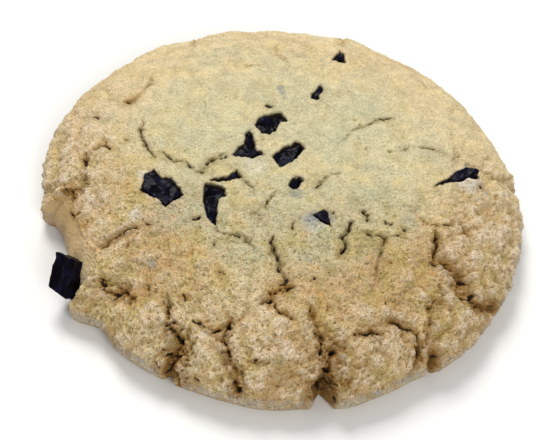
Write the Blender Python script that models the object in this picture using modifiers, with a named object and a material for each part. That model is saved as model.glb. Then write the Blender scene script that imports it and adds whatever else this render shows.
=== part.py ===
"""A soft-baked chocolate chunk cookie, about 90 mm across and 15 mm thick.

The dough is one solid: a round mound with a slightly sunken middle, a steep
crackled rim, crevices that open at its edge and a smooth scoop in its left
side. Chocolate chunks sit in pockets of the dough, each a solid of its own,
and one block of chocolate stands out of the scoop.

Places on the crust are given unrolled: (u, v) is the distance along the
surface from the middle of the top, +u to the right and +v to the back. Near
the middle that is the same as x and y, and at the rim it runs on down the side.
All sizes in this file are in millimetres, and the mesh is made in metres.
"""

import math

import bmesh
import bpy
import numpy as np
from mathutils import Euler, Matrix, Vector, noise

MM = 0.001

# The cookie's overall form
COOKIE_RADIUS = 45.0
COOKIE_HEIGHT = 15.0
WIDEST_AT = 3.5          # height of the widest point above the base
SIDE_FULLNESS = 3.2      # how far out the top stays level before it turns down
TOP_FULLNESS = 1.7       # how softly it turns
UNDERCUT = 1.35          # how far the base edge lies inside the widest point
MIDDLE_SAG = 0.9
MIDDLE_SAG_RADIUS = 17.0

# The mesh that is moulded, before it is thinned out
SEGMENTS = 440
TOP_RINGS = 104
BASE_RINGS = 8
DOUGH_TRIANGLES = 8700
WELD_DISTANCE = 0.05

# The crust's broad unevenness: height, and size of the swells
SWELL = (0.45, 15.0)
LUMP = (0.26, 6.0)
CRAG = (0.12, 2.2)

# Lobes and notches of the outline, as (angle in degrees, half width in degrees,
# how far the edge moves out). Angles run anticlockwise from the right.
OUTLINE_LOBES = (
    (187, 8, -1.3),
    (223, 3, 1.3),
    (230, 4, -1.3),
    (272, 7, 0.5),
    (291, 5, 0.7),
    (308, 5, -0.6),
    (318, 9, 0.3),
    (340, 12, 0.2),
    (2, 10, 0.3),
    (16, 2.5, 0.7),
    (40, 14, 0.5),
    (77, 3, 0.6),
    (103, 8, -0.6),
    (120, 5, -0.4),
)
OUTLINE_NOTCHES = (
    (250.5, 1.7, 1.7),
    (285.4, 2.7, 3.2),
    (312.0, 1.5, 1.3),
    (334.5, 1.6, 0.8),
    (12.5, 1.6, 0.9),
    (81.5, 2.2, 1.3),
    (94.0, 1.3, 0.6),
    (118.0, 1.6, 0.8),
    (146.0, 1.8, 0.6),
)
NOTCH_RUN = (41.0, 49.0)   # the distances from the middle between which they set in

# The smooth scoop in the left side
SCOOP_ANGLES = (194.0, 221.5)
SCOOP_SHARP = 0.8        # half the width of the steps at its two ends, in degrees
SCOOP_STEP = 0.55        # how much of its depth the step at the back end has
SCOOP_FADE = 6.0
SCOOP_SHALLOW = (203.0, 219.0)
SCOOP_EASE = 0.4         # how much shallower it has become by the end of that range
SCOOP_DEPTH = 4.6
SCOOP_LIP = 39.5         # distance from the middle at which its face starts
SCOOP_RUN = 8.5          # how far down its face reaches its full depth

# Plates, bumps and hollows, as (u, v, radius, height)
BUMPS = (
    (2, -37, 5.5, 0.7),
    (20, -39, 6.5, 0.5),
    (18, -27, 6.5, 0.35),
    (36, -28, 5.5, 0.5),
    (38, -12, 6.0, 0.4),
    (-10, -43, 5.0, 0.4),
    (-26, -37, 6.0, 0.3),
    (-22, -26, 6.0, 0.3),
    (-33, -5, 5.0, 0.4),
    (-35, 12, 7.0, 0.4),
    (-30, 26, 7.0, 0.3),
    (17.5, -31, 2.6, 0.5),
    (6.4, -14.2, 3.6, 1.1),
    (33.5, 2.6, 2.8, 0.9),
    (26, 22, 8.0, 0.3),
    (8, 36, 6.0, 0.3),
    (-13, 34, 8.0, 0.3),
    (-24.9, -16.3, 1.8, 0.5),
    (-15.8, -8.6, 1.9, 0.8),
    (-25.8, -7.4, 1.3, 0.5),
    (11.4, -38, 3.0, -0.9),
    (-15, -41, 2.8, -0.7),
    (34.5, -20.4, 3.0, -0.6),
    (-27, -31.5, 2.4, -0.5),
    (3.0, -6.6, 2.0, -0.8),
    (-15, -2, 8.0, -0.5),
    (-8, 6, 5.0, -0.5),
)

# Cracks of the crust, as (half width, depth, route)
CRACKS = (
    (0.45, 1.2, ((-0.4, -17.4), (-0.8, -18.9), (0, -20.5), (0.9, -22.4), (1.2, -24.2), (2.5, -26))),
    (0.90, 1.2, ((4, -27.3), (2.2, -27.4), (1.2, -29), (0.4, -30.6), (-1.2, -31.5))),
    (0.35, 0.8, ((1, -30.9), (1.8, -32.1), (3.2, -32.8), (4.4, -33.6))),
    (0.45, 1.2, ((12.7, -11.9), (12.5, -13.8), (11.6, -15.8), (12.3, -17.6), (11, -20.2))),
    (0.40, 0.9, ((13.2, -8.8), (14.8, -9.1), (15.9, -11.2))),
    (0.45, 0.9, ((15.6, -13.6), (17.2, -14.2), (19.2, -14.1), (18.8, -16.6), (18.2, -20), (18.3, -23.6))),
    (0.60, 1.2, ((27.9, -10.2), (28.5, -12.4), (28.2, -15.6), (28.2, -17.6))),
    (1.00, 1.3, ((30, -16.2), (32.4, -17.4), (34, -19.4), (36.4, -21.6), (39.4, -22), (43, -20.4), (46, -19.6))),
    (0.30, 0.5, ((23.6, -5.2), (24.2, -7.6), (26.4, -9), (29.4, -8.5), (31.2, -7.6), (31.7, -5))),
    (0.35, 0.6, ((31.9, -5.6), (33.4, -8.1), (34.5, -9))),
    (1.60, 2.2, ((12.6, -52), (12, -47.4), (11.4, -45), (13.2, -42.6), (12, -40.9), (12.2, -37.6))),
    (0.90, 1.1, ((12.2, -37.6), (10.2, -36.6), (9.8, -35.2), (8.2, -33.2), (7.4, -30.6))),
    (0.55, 1.1, ((15, -34.2), (16.7, -33.6), (18.6, -33.1), (20.2, -33.2))),
    (0.55, 1.1, ((21.8, -30.6), (24.6, -31.3), (26.4, -31.4), (28, -33.4), (28.6, -35.6), (28.2, -38.2))),
    (0.80, 1.3, ((34.2, -38), (32.2, -35), (31.6, -33.6))),
    (0.60, 0.8, ((29.9, -20.6), (29.9, -23.3), (28.2, -26), (28.8, -28.4), (29, -31.6))),
    (1.30, 1.5, ((-14.6, -51), (-14.3, -46.2), (-16, -44.8), (-14.6, -42.4), (-13.8, -39.6), (-15.6, -37.4))),
    (0.55, 0.9, ((-15.6, -37.4), (-16.3, -34.6), (-17.1, -31.4))),
    (0.80, 1.3, ((-5.8, -35.6), (-6.6, -38.8), (-5.6, -40), (-5.2, -41.4), (-3.6, -43.6), (-3.3, -47))),
    (0.35, 0.5, ((-1.8, -41.2), (-0.6, -41.2), (1.6, -41))),
    (0.50, 0.8, ((-12, -36), (-10.4, -36.6), (-8.6, -37.3), (-6.6, -36.8))),
    (0.80, 1.3, ((-28.8, -31.4), (-27.4, -32.2), (-25.8, -31.4), (-24.2, -32.5), (-23, -32.3))),
    (0.40, 0.8, ((-28.8, -27.6), (-28.4, -29), (-28.9, -31))),
    (0.50, 0.9, ((-30.6, -22.5), (-28.2, -20.7), (-26.6, -19.7), (-25.4, -18.9), (-23.8, -18.6))),
    (0.40, 0.8, ((-12, -17), (-9.4, -18.2), (-6.4, -18.3), (-4.2, -20), (-3.2, -20.8))),
    (0.45, 0.8, ((-28, 19.8), (-27.3, 17.6), (-28.2, 14.8), (-29.4, 12.9), (-31.8, 11.8))),
    (0.35, 0.7, ((-27.5, 8), (-27.2, 6.4), (-27.3, 4.4), (-26.7, 2), (-25, -1.1), (-23.8, -2.6))),
    (0.40, 0.7, ((-22.8, -0.6), (-20.6, -2.5), (-19, -2.2), (-17.6, -3.4), (-16.4, -4.1))),
    (0.60, 0.8, ((-15.8, -4.8), (-14.4, -4.1), (-14.1, -1.9), (-12.8, -0.4), (-11, 0.9))),
    (0.50, 0.8, ((-32.4, -0.6), (-33.6, 0.4), (-35.6, 0.1), (-37.6, -1.4), (-37.8, -3.6))),
    (0.70, 1.0, ((-40.6, -9.2), (-38.6, -10), (-37.6, -11.8))),
    (0.60, 0.9, ((-37.4, -6.2), (-36.4, -8.2), (-37, -9.6), (-36, -11))),
    (0.40, 0.5, ((-13.6, 25.9), (-11.6, 25.7), (-10.2, 24.4), (-7.6, 24.6))),
    (0.50, 0.5, ((-5, 32.5), (-4.9, 30), (-2.6, 27.6), (-1.8, 25.8))),
    (0.60, 0.8, ((8.6, 46), (8, 40), (7.9, 36))),
    (0.50, 0.6, ((-21.4, 40), (-22, 35.6), (-21.6, 32))),
    (0.30, 0.5, ((8.6, 5.5), (9.2, 7), (11.5, 10.8), (14.5, 12.9), (17.1, 14.8), (18.6, 15.6))),
    (0.30, 0.5, ((18.4, 6.7), (21.3, 7.5), (22.9, 8.8), (26.3, 9.2), (28.8, 8.7))),
    (0.35, 0.6, ((30.7, 12.7), (31.1, 10.6), (30.4, 8.4), (32.2, 9.7))),
    (0.45, 0.9, ((34, 8), (40, 8), (42.6, 10.4), (46, 14))),
    (0.30, 0.5, ((5.9, -4.8), (7.3, -2.6), (8.5, -1), (10.4, -0.1))),
    (0.30, 0.5, ((-7.6, -4.4), (-6.3, -6.1), (-5, -6.7))),
    (0.30, 0.5, ((-0.9, -6.3), (-1.3, -8.1), (-2.5, -9.6), (-3.7, -11.8), (-5, -13.2))),
)
CRACK_WANDER = ((0.35, 3.0), (0.3, 1.2))
CRACK_END = 0.35         # a crack's width and depth at its ends, over those midway
OPEN_END = 45.0          # a crack that reaches this far stays open at the rim

# The chocolate. Each chunk is (name, how far its top stands above the crust,
# thickness, outline), the outline seen from above.
CHUNKS = (
    ("chunk_left_top", 0.1, 4.0,
     ((-24.6, -10.2), (-24.6, -6.8), (-23.4, -5.6), (-22.5, -6.5), (-21.5, -7.4),
      (-20.0, -6.9), (-18.5, -9.2), (-17.2, -10.7), (-19.0, -12.3), (-20.0, -13.7),
      (-22.0, -11.9))),
    ("chunk_tall", -0.7, 3.6,
     ((-13.9, -7.0), (-12.4, -7.3), (-10.4, -7.9), (-9.8, -9.2), (-10.9, -10.2),
      (-11.1, -12.6), (-10.7, -16.6), (-11.4, -16.3), (-12.6, -14.8), (-13.5, -10.0))),
    ("chunk_sliver", -0.4, 2.6,
     ((-12.9, -6.4), (-10.0, -4.5), (-8.6, -2.8), (-8.3, -3.6), (-7.7, -4.3),
      (-9.2, -5.3))),
    ("chunk_twin", -0.3, 3.4,
     ((-9.8, 1.1), (-8.9, 3.4), (-7.8, 4.2), (-7.8, 7.0), (-7.4, 7.6), (-6.8, 6.6),
      (-6.2, 4.4), (-5.6, 2.6), (-4.6, 2.6), (-4.3, 1.7), (-6.4, 1.0))),
    ("chunk_back", -0.2, 3.4,
     ((-6.6, 9.1), (-6.1, 10.6), (-5.2, 11.3), (-2.3, 12.4), (-0.8, 10.9),
      (-2.1, 10.6), (-3.0, 7.9), (-3.7, 7.3), (-5.0, 7.7))),
    ("chunk_middle", -0.6, 3.6,
     ((-2.4, 1.4), (-2.0, 2.8), (-1.0, 3.9), (1.4, 5.6), (2.3, 5.5), (3.1, 4.4),
      (1.0, 1.1), (-0.8, -0.5), (-1.5, 0.6))),
    ("chunk_in_hole", -1.0, 2.6,
     ((1.1, -4.9), (1.1, -3.6), (2.0, -2.8), (2.9, -2.5), (3.3, -3.5), (2.6, -5.2))),
    ("chunk_front", 0.0, 2.8,
     ((6.0, -12.4), (7.1, -11.2), (7.8, -10.4), (8.5, -11.0), (8.9, -12.1),
      (9.1, -13.9), (8.0, -13.4))),
    ("chunk_right", -0.2, 3.2,
     ((27.4, 0.1), (29.9, 2.9), (31.4, 4.9), (32.9, 6.3), (34.2, 6.8), (35.5, 5.7),
      (34.2, 4.0), (31.6, 2.8), (29.6, 1.6))),
    ("chunk_small_back", -0.3, 2.4,
     ((3.1, 17.6), (3.3, 18.9), (4.5, 21.2), (5.1, 20.6), (4.5, 18.2), (3.9, 17.4))),
    ("chunk_far_back", -0.4, 2.2,
     ((6.4, 29.9), (7.6, 33.3), (8.5, 33.0), (8.7, 30.2))),
)
CHUNK_TAPER = 0.8        # a chunk's foot over its top
CHUNK_UNEVEN = 0.35      # how far the corners of its top stand up and down
CHUNK_CHAMFER = 0.18
POCKET_GAP = 0.32        # between a chunk and the dough round it

# The block of chocolate that stands out of the scoop
BLOCK_SIZE = (3.9, 7.6, 4.8)
BLOCK_CENTRE = (-35.1, -25.9, 5.75)
BLOCK_TURN = (38.0, -20.0, -21.0)
BLOCK_OBLIQUE = (0.18, 0.38)   # how far its back and front ends are cut askew, over its width
BLOCK_CHAMFER = 0.35

DOUGH_COLOUR = (0.62, 0.43, 0.19, 1.0)
CHOCOLATE_COLOUR = (0.010, 0.007, 0.010, 1.0)


def smoothstep(low, high, value):
    """0 below low, 1 above high, and smooth between them."""
    share = np.clip((value - low) / (high - low), 0.0, 1.0)
    return share * share * (3.0 - 2.0 * share)


def noise_field(points, size, seed):
    """Smooth noise of about -1 to 1 at each point, with features of the given size."""
    offset = Vector((seed * 7.31, seed * -3.17, seed * 5.53))
    return np.array([noise.noise(Vector(point) / size + offset) for point in points])


def profile(steps=600):
    """The side view from the middle of the top to the base edge, as distances
    along the surface, radii and heights."""
    turn = np.linspace(0.0, math.pi / 2, steps)
    radius = COOKIE_RADIUS * np.sin(turn) ** (2.0 / SIDE_FULLNESS)
    height = WIDEST_AT + (COOKIE_HEIGHT - WIDEST_AT) * np.cos(turn) ** (2.0 / TOP_FULLNESS)
    drop = np.linspace(0.0, 1.0, steps // 8)[1:]
    radius = np.concatenate((radius, COOKIE_RADIUS - UNDERCUT * drop**2))
    height = np.concatenate((height, WIDEST_AT * (1.0 - drop)))
    lengths = np.hypot(np.diff(radius), np.diff(height))
    return np.concatenate(([0.0], np.cumsum(lengths))), radius, height


def outline_shift(distance, angle):
    """How far the lobes and notches move the crust out, at distances from the middle
    and angles in degrees. The notches are cut in the rim only."""
    shift = np.zeros_like(angle)
    for at, half_width, out in OUTLINE_LOBES:
        away = (angle - at + 180.0) % 360.0 - 180.0
        shift += out * np.exp(-((away / half_width) ** 2))
    shift *= smoothstep(14.0, 46.0, distance)
    at_rim = smoothstep(*NOTCH_RUN, distance)
    for at, half_width, depth in OUTLINE_NOTCHES:
        away = np.abs((angle - at + 180.0) % 360.0 - 180.0)
        shift -= depth * at_rim * np.clip(1.0 - away / half_width, 0.0, 1.0) ** 0.8
    return shift


def distance_to_route(u, v, route):
    """The distance of each point to a line through the route's points, and how far
    along the line its nearest point lies, from 0 to 1."""
    nearest = np.full(len(u), 1e9)
    place = np.zeros(len(u))
    whole = sum(math.dist(start, end) for start, end in zip(route, route[1:]))
    passed = 0.0
    for (u0, v0), (u1, v1) in zip(route, route[1:]):
        du, dv = u1 - u0, v1 - v0
        along = np.clip(((u - u0) * du + (v - v0) * dv) / (du * du + dv * dv), 0.0, 1.0)
        away = np.hypot(u - u0 - along * du, v - v0 - along * dv)
        closer = away < nearest
        nearest[closer] = away[closer]
        length = math.hypot(du, dv)
        place[closer] = (passed + along[closer] * length) / whole
        passed += length
    return nearest, place


def crack_depth(u, v, points):
    """How deep the cracks cut into the crust at each point."""
    for seed, (reach, size) in enumerate(CRACK_WANDER):
        u = u + reach * noise_field(points, size, 40 + seed)
        v = v + reach * noise_field(points, size, 50 + seed)
    vary = 1.0 + 0.45 * noise_field(points, 3.5, 60)
    depth = np.zeros(len(u))
    for half_width, deepest, route in CRACKS:
        away, place = distance_to_route(u, v, route)
        taper = CRACK_END + (1.0 - CRACK_END) * np.sin(math.pi * place) ** 0.6
        if math.hypot(*route[0]) > OPEN_END or math.hypot(*route[-1]) > OPEN_END:
            taper = np.maximum(taper, 0.9)
        share = away / (half_width * vary * taper)
        depth = np.maximum(depth, deepest * vary * taper * np.clip(1.0 - share, 0.0, 1.0) ** 0.7)
    return depth


def scoop_depth(distance, angle):
    """How far the scoop in the left side cuts in from the round form. Its back end is
    a sharp step, and its face runs straight down from a crisp lip."""
    start, end = SCOOP_ANGLES
    across = SCOOP_STEP * smoothstep(start - SCOOP_SHARP, start + SCOOP_SHARP, angle)
    across = across + (1.0 - SCOOP_STEP) * smoothstep(start, start + SCOOP_FADE, angle)
    across = across * (1.0 - SCOOP_EASE * smoothstep(*SCOOP_SHALLOW, angle))
    across = across * (1.0 - smoothstep(end - SCOOP_SHARP, end + SCOOP_SHARP, angle))
    return SCOOP_DEPTH * across * np.clip((distance - SCOOP_LIP) / SCOOP_RUN, 0.0, 1.0) ** 0.7


def crust(distance, angle):
    """The points of the crust at distances from the middle, measured along the
    surface, and at angles in degrees."""
    lengths, radii, heights = profile()
    turn = np.radians(angle)
    radius = np.interp(distance, lengths, radii)
    height = np.interp(distance, lengths, heights)
    slope_out = np.interp(distance, lengths, np.gradient(radii, lengths))
    slope_up = np.interp(distance, lengths, np.gradient(heights, lengths))
    flat = np.stack((radius * np.cos(turn), radius * np.sin(turn), height), 1)

    u, v = distance * np.cos(turn), distance * np.sin(turn)
    rim = smoothstep(16.0, 40.0, distance)
    foot = 1.0 - smoothstep(lengths[-1] - 5.0, lengths[-1] - 0.6, distance)
    relief = SWELL[0] * noise_field(flat, SWELL[1], 1)
    relief += LUMP[0] * noise_field(flat, LUMP[1], 2) * (0.45 + 0.75 * rim)
    relief += CRAG[0] * noise_field(flat, CRAG[1], 3) * (0.3 + 1.1 * rim)
    for at_u, at_v, size, rise in BUMPS:
        relief += rise * np.exp(-((u - at_u) ** 2 + (v - at_v) ** 2) / size**2)
    scoop = scoop_depth(distance, angle)
    smooth = 1.0 - 0.75 * np.clip(scoop / SCOOP_DEPTH, 0.0, 1.0)
    relief = (relief * smooth - crack_depth(u, v, flat)) * foot

    moved = radius + outline_shift(distance, angle) + relief * -slope_up
    moved = moved - scoop * (0.85 + 0.15 * foot)
    height = height + relief * slope_out
    height = height - MIDDLE_SAG * np.exp(-((radius / MIDDLE_SAG_RADIUS) ** 2))
    return np.stack((moved * np.cos(turn), moved * np.sin(turn), np.maximum(height, 0.0)), 1)


def crust_height(x, y):
    """The height of the top at a place near the middle."""
    lengths, radii, _ = profile()
    top = np.argmax(radii) + 1
    along = np.interp(math.hypot(x, y), radii[:top], lengths[:top])
    angle = math.degrees(math.atan2(y, x)) % 360.0
    return float(crust(np.array([along]), np.array([angle]))[0, 2])


def add_collection(name):
    """A new collection of the scene."""
    collection = bpy.data.collections.new(name)
    bpy.context.scene.collection.children.link(collection)
    return collection


def add_material(name, colour, roughness):
    """A plain finish, with no metal in it."""
    material = bpy.data.materials.new(name)
    material.use_nodes = True
    shader = material.node_tree.nodes["Principled BSDF"]
    shader.inputs["Base Color"].default_value = colour
    shader.inputs["Roughness"].default_value = roughness
    shader.inputs["Metallic"].default_value = 0.0
    return material


def keep(obj, collection, material=None):
    """Puts an object in its collection, with its finish."""
    for other in list(obj.users_collection):
        other.objects.unlink(obj)
    collection.objects.link(obj)
    if material:
        obj.data.materials.clear()
        obj.data.materials.append(material)
    return obj


def make_dough(collection, material, pockets):
    """The dough: a sphere moulded into the crust and a flat base, thinned out and
    cut by the chunks' pockets."""
    rings = TOP_RINGS + BASE_RINGS
    bpy.ops.mesh.primitive_uv_sphere_add(segments=SEGMENTS, ring_count=rings, radius=1.0)
    dough = bpy.context.object
    dough.name = "dough"
    mesh = dough.data
    ball = np.empty(len(mesh.vertices) * 3)
    mesh.vertices.foreach_get("co", ball)
    ball = ball.reshape(-1, 3)
    ring = np.degrees(np.arccos(np.clip(ball[:, 2], -1.0, 1.0))) / 180.0 * rings
    angle = np.degrees(np.arctan2(ball[:, 1], ball[:, 0])) % 360.0

    whole = profile()[0][-1]
    moulded = crust(whole * np.minimum(ring / TOP_RINGS, 1.0), angle)
    inward = np.clip((rings - ring) / BASE_RINGS, 0.0, 1.0)
    below = ring > TOP_RINGS + 0.5
    moulded[below, :2] *= inward[below, None]
    moulded[ring > TOP_RINGS - 0.5, 2] = 0.0
    mesh.vertices.foreach_set("co", (moulded * MM).ravel())
    mesh.update()
    mesh.shade_smooth()
    keep(dough, collection, material)

    thin = dough.modifiers.new("thin_out", "DECIMATE")
    thin.ratio = DOUGH_TRIANGLES / sum(len(face.vertices) - 2 for face in mesh.polygons)
    thin.use_collapse_triangulate = True
    weld = dough.modifiers.new("weld", "WELD")
    weld.merge_threshold = WELD_DISTANCE * MM
    cut = dough.modifiers.new("pockets", "BOOLEAN")
    cut.operation = "DIFFERENCE"
    cut.operand_type = "COLLECTION"
    cut.collection = pockets
    cut.solver = "MANIFOLD"
    return dough


def widened(outline, gap):
    """An outline moved out by a gap all round."""
    points = [Vector(point) for point in outline]
    turning = sum(a.x * b.y - b.x * a.y for a, b in zip(points, points[1:] + points[:1]))
    outward = gap if turning > 0 else -gap
    moved = []
    for before, here, after in zip(points[-1:] + points[:-1], points, points[1:] + points[:1]):
        first, second = (here - before).normalized(), (after - here).normalized()
        normal = Vector((first.y + second.y, -first.x - second.x)).normalized()
        half = max(0.45, normal.dot(Vector((first.y, -first.x))))
        moved.append(here + normal * (outward / half))
    return moved


def prism(name, outline, bottom, top):
    """An upright solid of an outline, as a mesh object, from a filled 2D curve."""
    curve = bpy.data.curves.new(name, "CURVE")
    curve.dimensions = "2D"
    curve.fill_mode = "BOTH"
    curve.extrude = (top - bottom) / 2 * MM
    spline = curve.splines.new("POLY")
    spline.points.add(len(outline) - 1)
    spline.use_cyclic_u = True
    for point, (x, y) in zip(spline.points, outline):
        point.co = (x * MM, y * MM, 0.0, 1.0)
    guide = bpy.data.objects.new(name + "_outline", curve)
    bpy.context.scene.collection.objects.link(guide)
    guide.location.z = (top + bottom) / 2 * MM
    bpy.context.view_layer.update()
    graph = bpy.context.evaluated_depsgraph_get()
    mesh = bpy.data.meshes.new_from_object(guide.evaluated_get(graph))
    mesh.transform(guide.matrix_world)
    bpy.data.objects.remove(guide)
    soup = bmesh.new()
    soup.from_mesh(mesh)
    bmesh.ops.remove_doubles(soup, verts=soup.verts, dist=0.00001)
    bmesh.ops.recalc_face_normals(soup, faces=soup.faces)
    soup.to_mesh(mesh)
    soup.free()
    solid = bpy.data.objects.new(name, mesh)
    bpy.context.scene.collection.objects.link(solid)
    return solid


def make_chunk(number, spec, collection, pockets, material):
    """One chunk of chocolate that narrows downwards, and the pocket that it sits in."""
    name, proud, thickness, outline = spec
    middle = sum((Vector(point) for point in outline), Vector((0.0, 0.0))) / len(outline)
    top = crust_height(*middle) + proud
    bottom = top - thickness
    solid = prism(name, outline, bottom, top)
    for index, vertex in enumerate(solid.data.vertices):
        if vertex.co.z > (top - 0.1) * MM:
            vertex.co.z += CHUNK_UNEVEN * math.sin(2.4 * index + number) * MM
            continue
        for axis in (0, 1):
            vertex.co[axis] = middle[axis] * MM + (vertex.co[axis] - middle[axis] * MM) * CHUNK_TAPER
    chamfer = solid.modifiers.new("chamfer", "BEVEL")
    chamfer.width = CHUNK_CHAMFER * MM
    chamfer.segments = 1
    keep(solid, collection, material)

    pocket = prism(name + "_pocket", widened(outline, POCKET_GAP), bottom - POCKET_GAP, top + 8.0)
    pocket.hide_render = True
    pocket.display_type = "WIRE"
    keep(pocket, pockets)


def make_block(collection, pockets, material):
    """The block that stands out of the scoop, and the pocket that holds its inner end."""
    turn = Euler([math.radians(angle) for angle in BLOCK_TURN]).to_matrix().to_4x4()
    place = Matrix.Translation(Vector(BLOCK_CENTRE) * MM) @ turn
    for name, gap in (("block_edge", 0.0), ("block_edge_pocket", POCKET_GAP)):
        bpy.ops.mesh.primitive_cube_add(size=1.0)
        box = bpy.context.object
        box.name = name
        box.data.transform(Matrix.Diagonal([(side + 2 * gap) * MM for side in BLOCK_SIZE] + [1.0]))
        box.matrix_world = place
        if gap:
            box.hide_render = True
            box.display_type = "WIRE"
            keep(box, pockets)
            continue
        half = BLOCK_SIZE[0] / 2 * MM
        for vertex in box.data.vertices:
            if vertex.co.y > 0:
                vertex.co.y -= BLOCK_OBLIQUE[0] * (half + vertex.co.x)
            else:
                vertex.co.y += BLOCK_OBLIQUE[1] * (half - vertex.co.x)
        chamfer = box.modifiers.new("chamfer", "BEVEL")
        chamfer.width = BLOCK_CHAMFER * MM
        chamfer.segments = 2
        keep(box, collection, material)


def main():
    for obj in list(bpy.data.objects):
        bpy.data.objects.remove(obj)
    cookie = add_collection("chocolate_chunk_cookie")
    pockets = add_collection("pockets")
    baked = add_material("baked_dough", DOUGH_COLOUR, 0.85)
    chocolate = add_material("dark_chocolate", CHOCOLATE_COLOUR, 0.35)
    for number, spec in enumerate(CHUNKS):
        make_chunk(number, spec, cookie, pockets, chocolate)
    make_block(cookie, pockets, chocolate)
    make_dough(cookie, baked, pockets)


main()
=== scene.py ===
"""A soft-baked chocolate chunk cookie: its crust, its chocolate, and a plain stage.

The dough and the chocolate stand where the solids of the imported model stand, and
take their forms from the same named sizes, with the finer relief that a baked
crust has. Places on the crust are given unrolled, in millimetres: (u, v) is the
distance along the surface from the middle of the top, +u right and +v back.
"""

import math

import bmesh
import bpy
import numpy as np
from bpy.props import FloatProperty, FloatVectorProperty, PointerProperty
from mathutils import Euler, Matrix, Vector, noise


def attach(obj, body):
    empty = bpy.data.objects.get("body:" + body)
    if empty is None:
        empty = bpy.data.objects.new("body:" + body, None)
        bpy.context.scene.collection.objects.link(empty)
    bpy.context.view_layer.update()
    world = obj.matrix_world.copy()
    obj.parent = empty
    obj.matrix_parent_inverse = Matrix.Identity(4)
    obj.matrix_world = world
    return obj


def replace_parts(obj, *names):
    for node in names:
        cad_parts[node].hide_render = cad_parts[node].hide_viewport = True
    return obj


bl_info = {
    "name": "Chocolate chunk cookie",
    "version": (1, 0, 0),
    "blender": (4, 5, 0),
    "location": "3D View > Sidebar > Cookie",
    "description": "Builds a baked cookie with its chocolate chunks, and a plain stage",
    "category": "Object",
}

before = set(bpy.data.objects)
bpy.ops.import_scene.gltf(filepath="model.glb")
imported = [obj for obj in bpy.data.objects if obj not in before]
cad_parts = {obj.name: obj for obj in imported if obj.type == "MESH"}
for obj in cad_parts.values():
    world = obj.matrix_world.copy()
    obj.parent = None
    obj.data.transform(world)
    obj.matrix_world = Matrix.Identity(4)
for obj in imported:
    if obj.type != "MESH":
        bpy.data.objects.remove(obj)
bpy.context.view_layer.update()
MM = 0.001

# The cookie's overall form, in millimetres
COOKIE_RADIUS = 45.0
COOKIE_HEIGHT = 15.0
WIDEST_AT = 3.5
SIDE_FULLNESS = 3.2
TOP_FULLNESS = 1.7
UNDERCUT = 1.35
MIDDLE_SAG = 0.9
MIDDLE_SAG_RADIUS = 17.0
SWELL = (0.45, 15.0)
LUMP = (0.26, 6.0)
CRAG = (0.12, 2.2)

# The dough's mesh: cells across the top, and rings of the underside. The top is
# made in four pieces.
TOP_CELLS = 560
BASE_RINGS = 8

# Lobes and notches of the outline: angle, half width in degrees, and how far out
OUTLINE_LOBES = (
    (187, 8, -1.3), (223, 3, 1.3), (230, 4, -1.3), (272, 7, 0.5), (291, 5, 0.7), (308, 5, -0.6),
    (318, 9, 0.3), (340, 12, 0.2), (2, 10, 0.3), (16, 2.5, 0.7), (40, 14, 0.5), (77, 3, 0.6),
    (103, 8, -0.6), (120, 5, -0.4),
)
OUTLINE_NOTCHES = (
    (250.5, 1.7, 1.7), (285.4, 2.7, 3.2), (312, 1.5, 1.3), (334.5, 1.6, 0.8), (12.5, 1.6, 0.9),
    (81.5, 2.2, 1.3), (94, 1.3, 0.6), (118, 1.6, 0.8), (146, 1.8, 0.6),
)
NOTCH_RUN = (41.0, 49.0)

# The smooth scoop in the left side
SCOOP_ANGLES = (194.0, 221.5)
SCOOP_SHARP = 0.8
SCOOP_STEP = 0.55
SCOOP_FADE = 6.0
SCOOP_SHALLOW = (203.0, 219.0)
SCOOP_EASE = 0.4
SCOOP_DEPTH = 4.6
SCOOP_LIP = 39.5
SCOOP_RUN = 8.5

# Plates, bumps and hollows: (u, v, radius, height)
BUMPS = (
    (2, -37, 5.5, 0.7), (20, -39, 6.5, 0.5), (18, -27, 6.5, 0.35), (36, -28, 5.5, 0.5), (38, -12, 6, 0.4),
    (-10, -43, 5, 0.4), (-26, -37, 6, 0.3), (-22, -26, 6, 0.3), (-33, -5, 5, 0.4), (-35, 12, 7, 0.4),
    (-30, 26, 7, 0.3), (17.5, -31, 2.6, 0.5), (6.4, -14.2, 3.6, 1.1), (33.5, 2.6, 2.8, 0.9),
    (26, 22, 8, 0.3), (8, 36, 6, 0.3), (-13, 34, 8, 0.3), (-24.9, -16.3, 1.8, 0.5),
    (-15.8, -8.6, 1.9, 0.8), (-25.8, -7.4, 1.3, 0.5), (11.4, -38, 3, -0.9), (-15, -41, 2.8, -0.7),
    (34.5, -20.4, 3, -0.6), (-27, -31.5, 2.4, -0.5), (3, -6.6, 2, -0.8), (-15, -2, 8, -0.5),
    (-8, 6, 5, -0.5),
)

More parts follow.
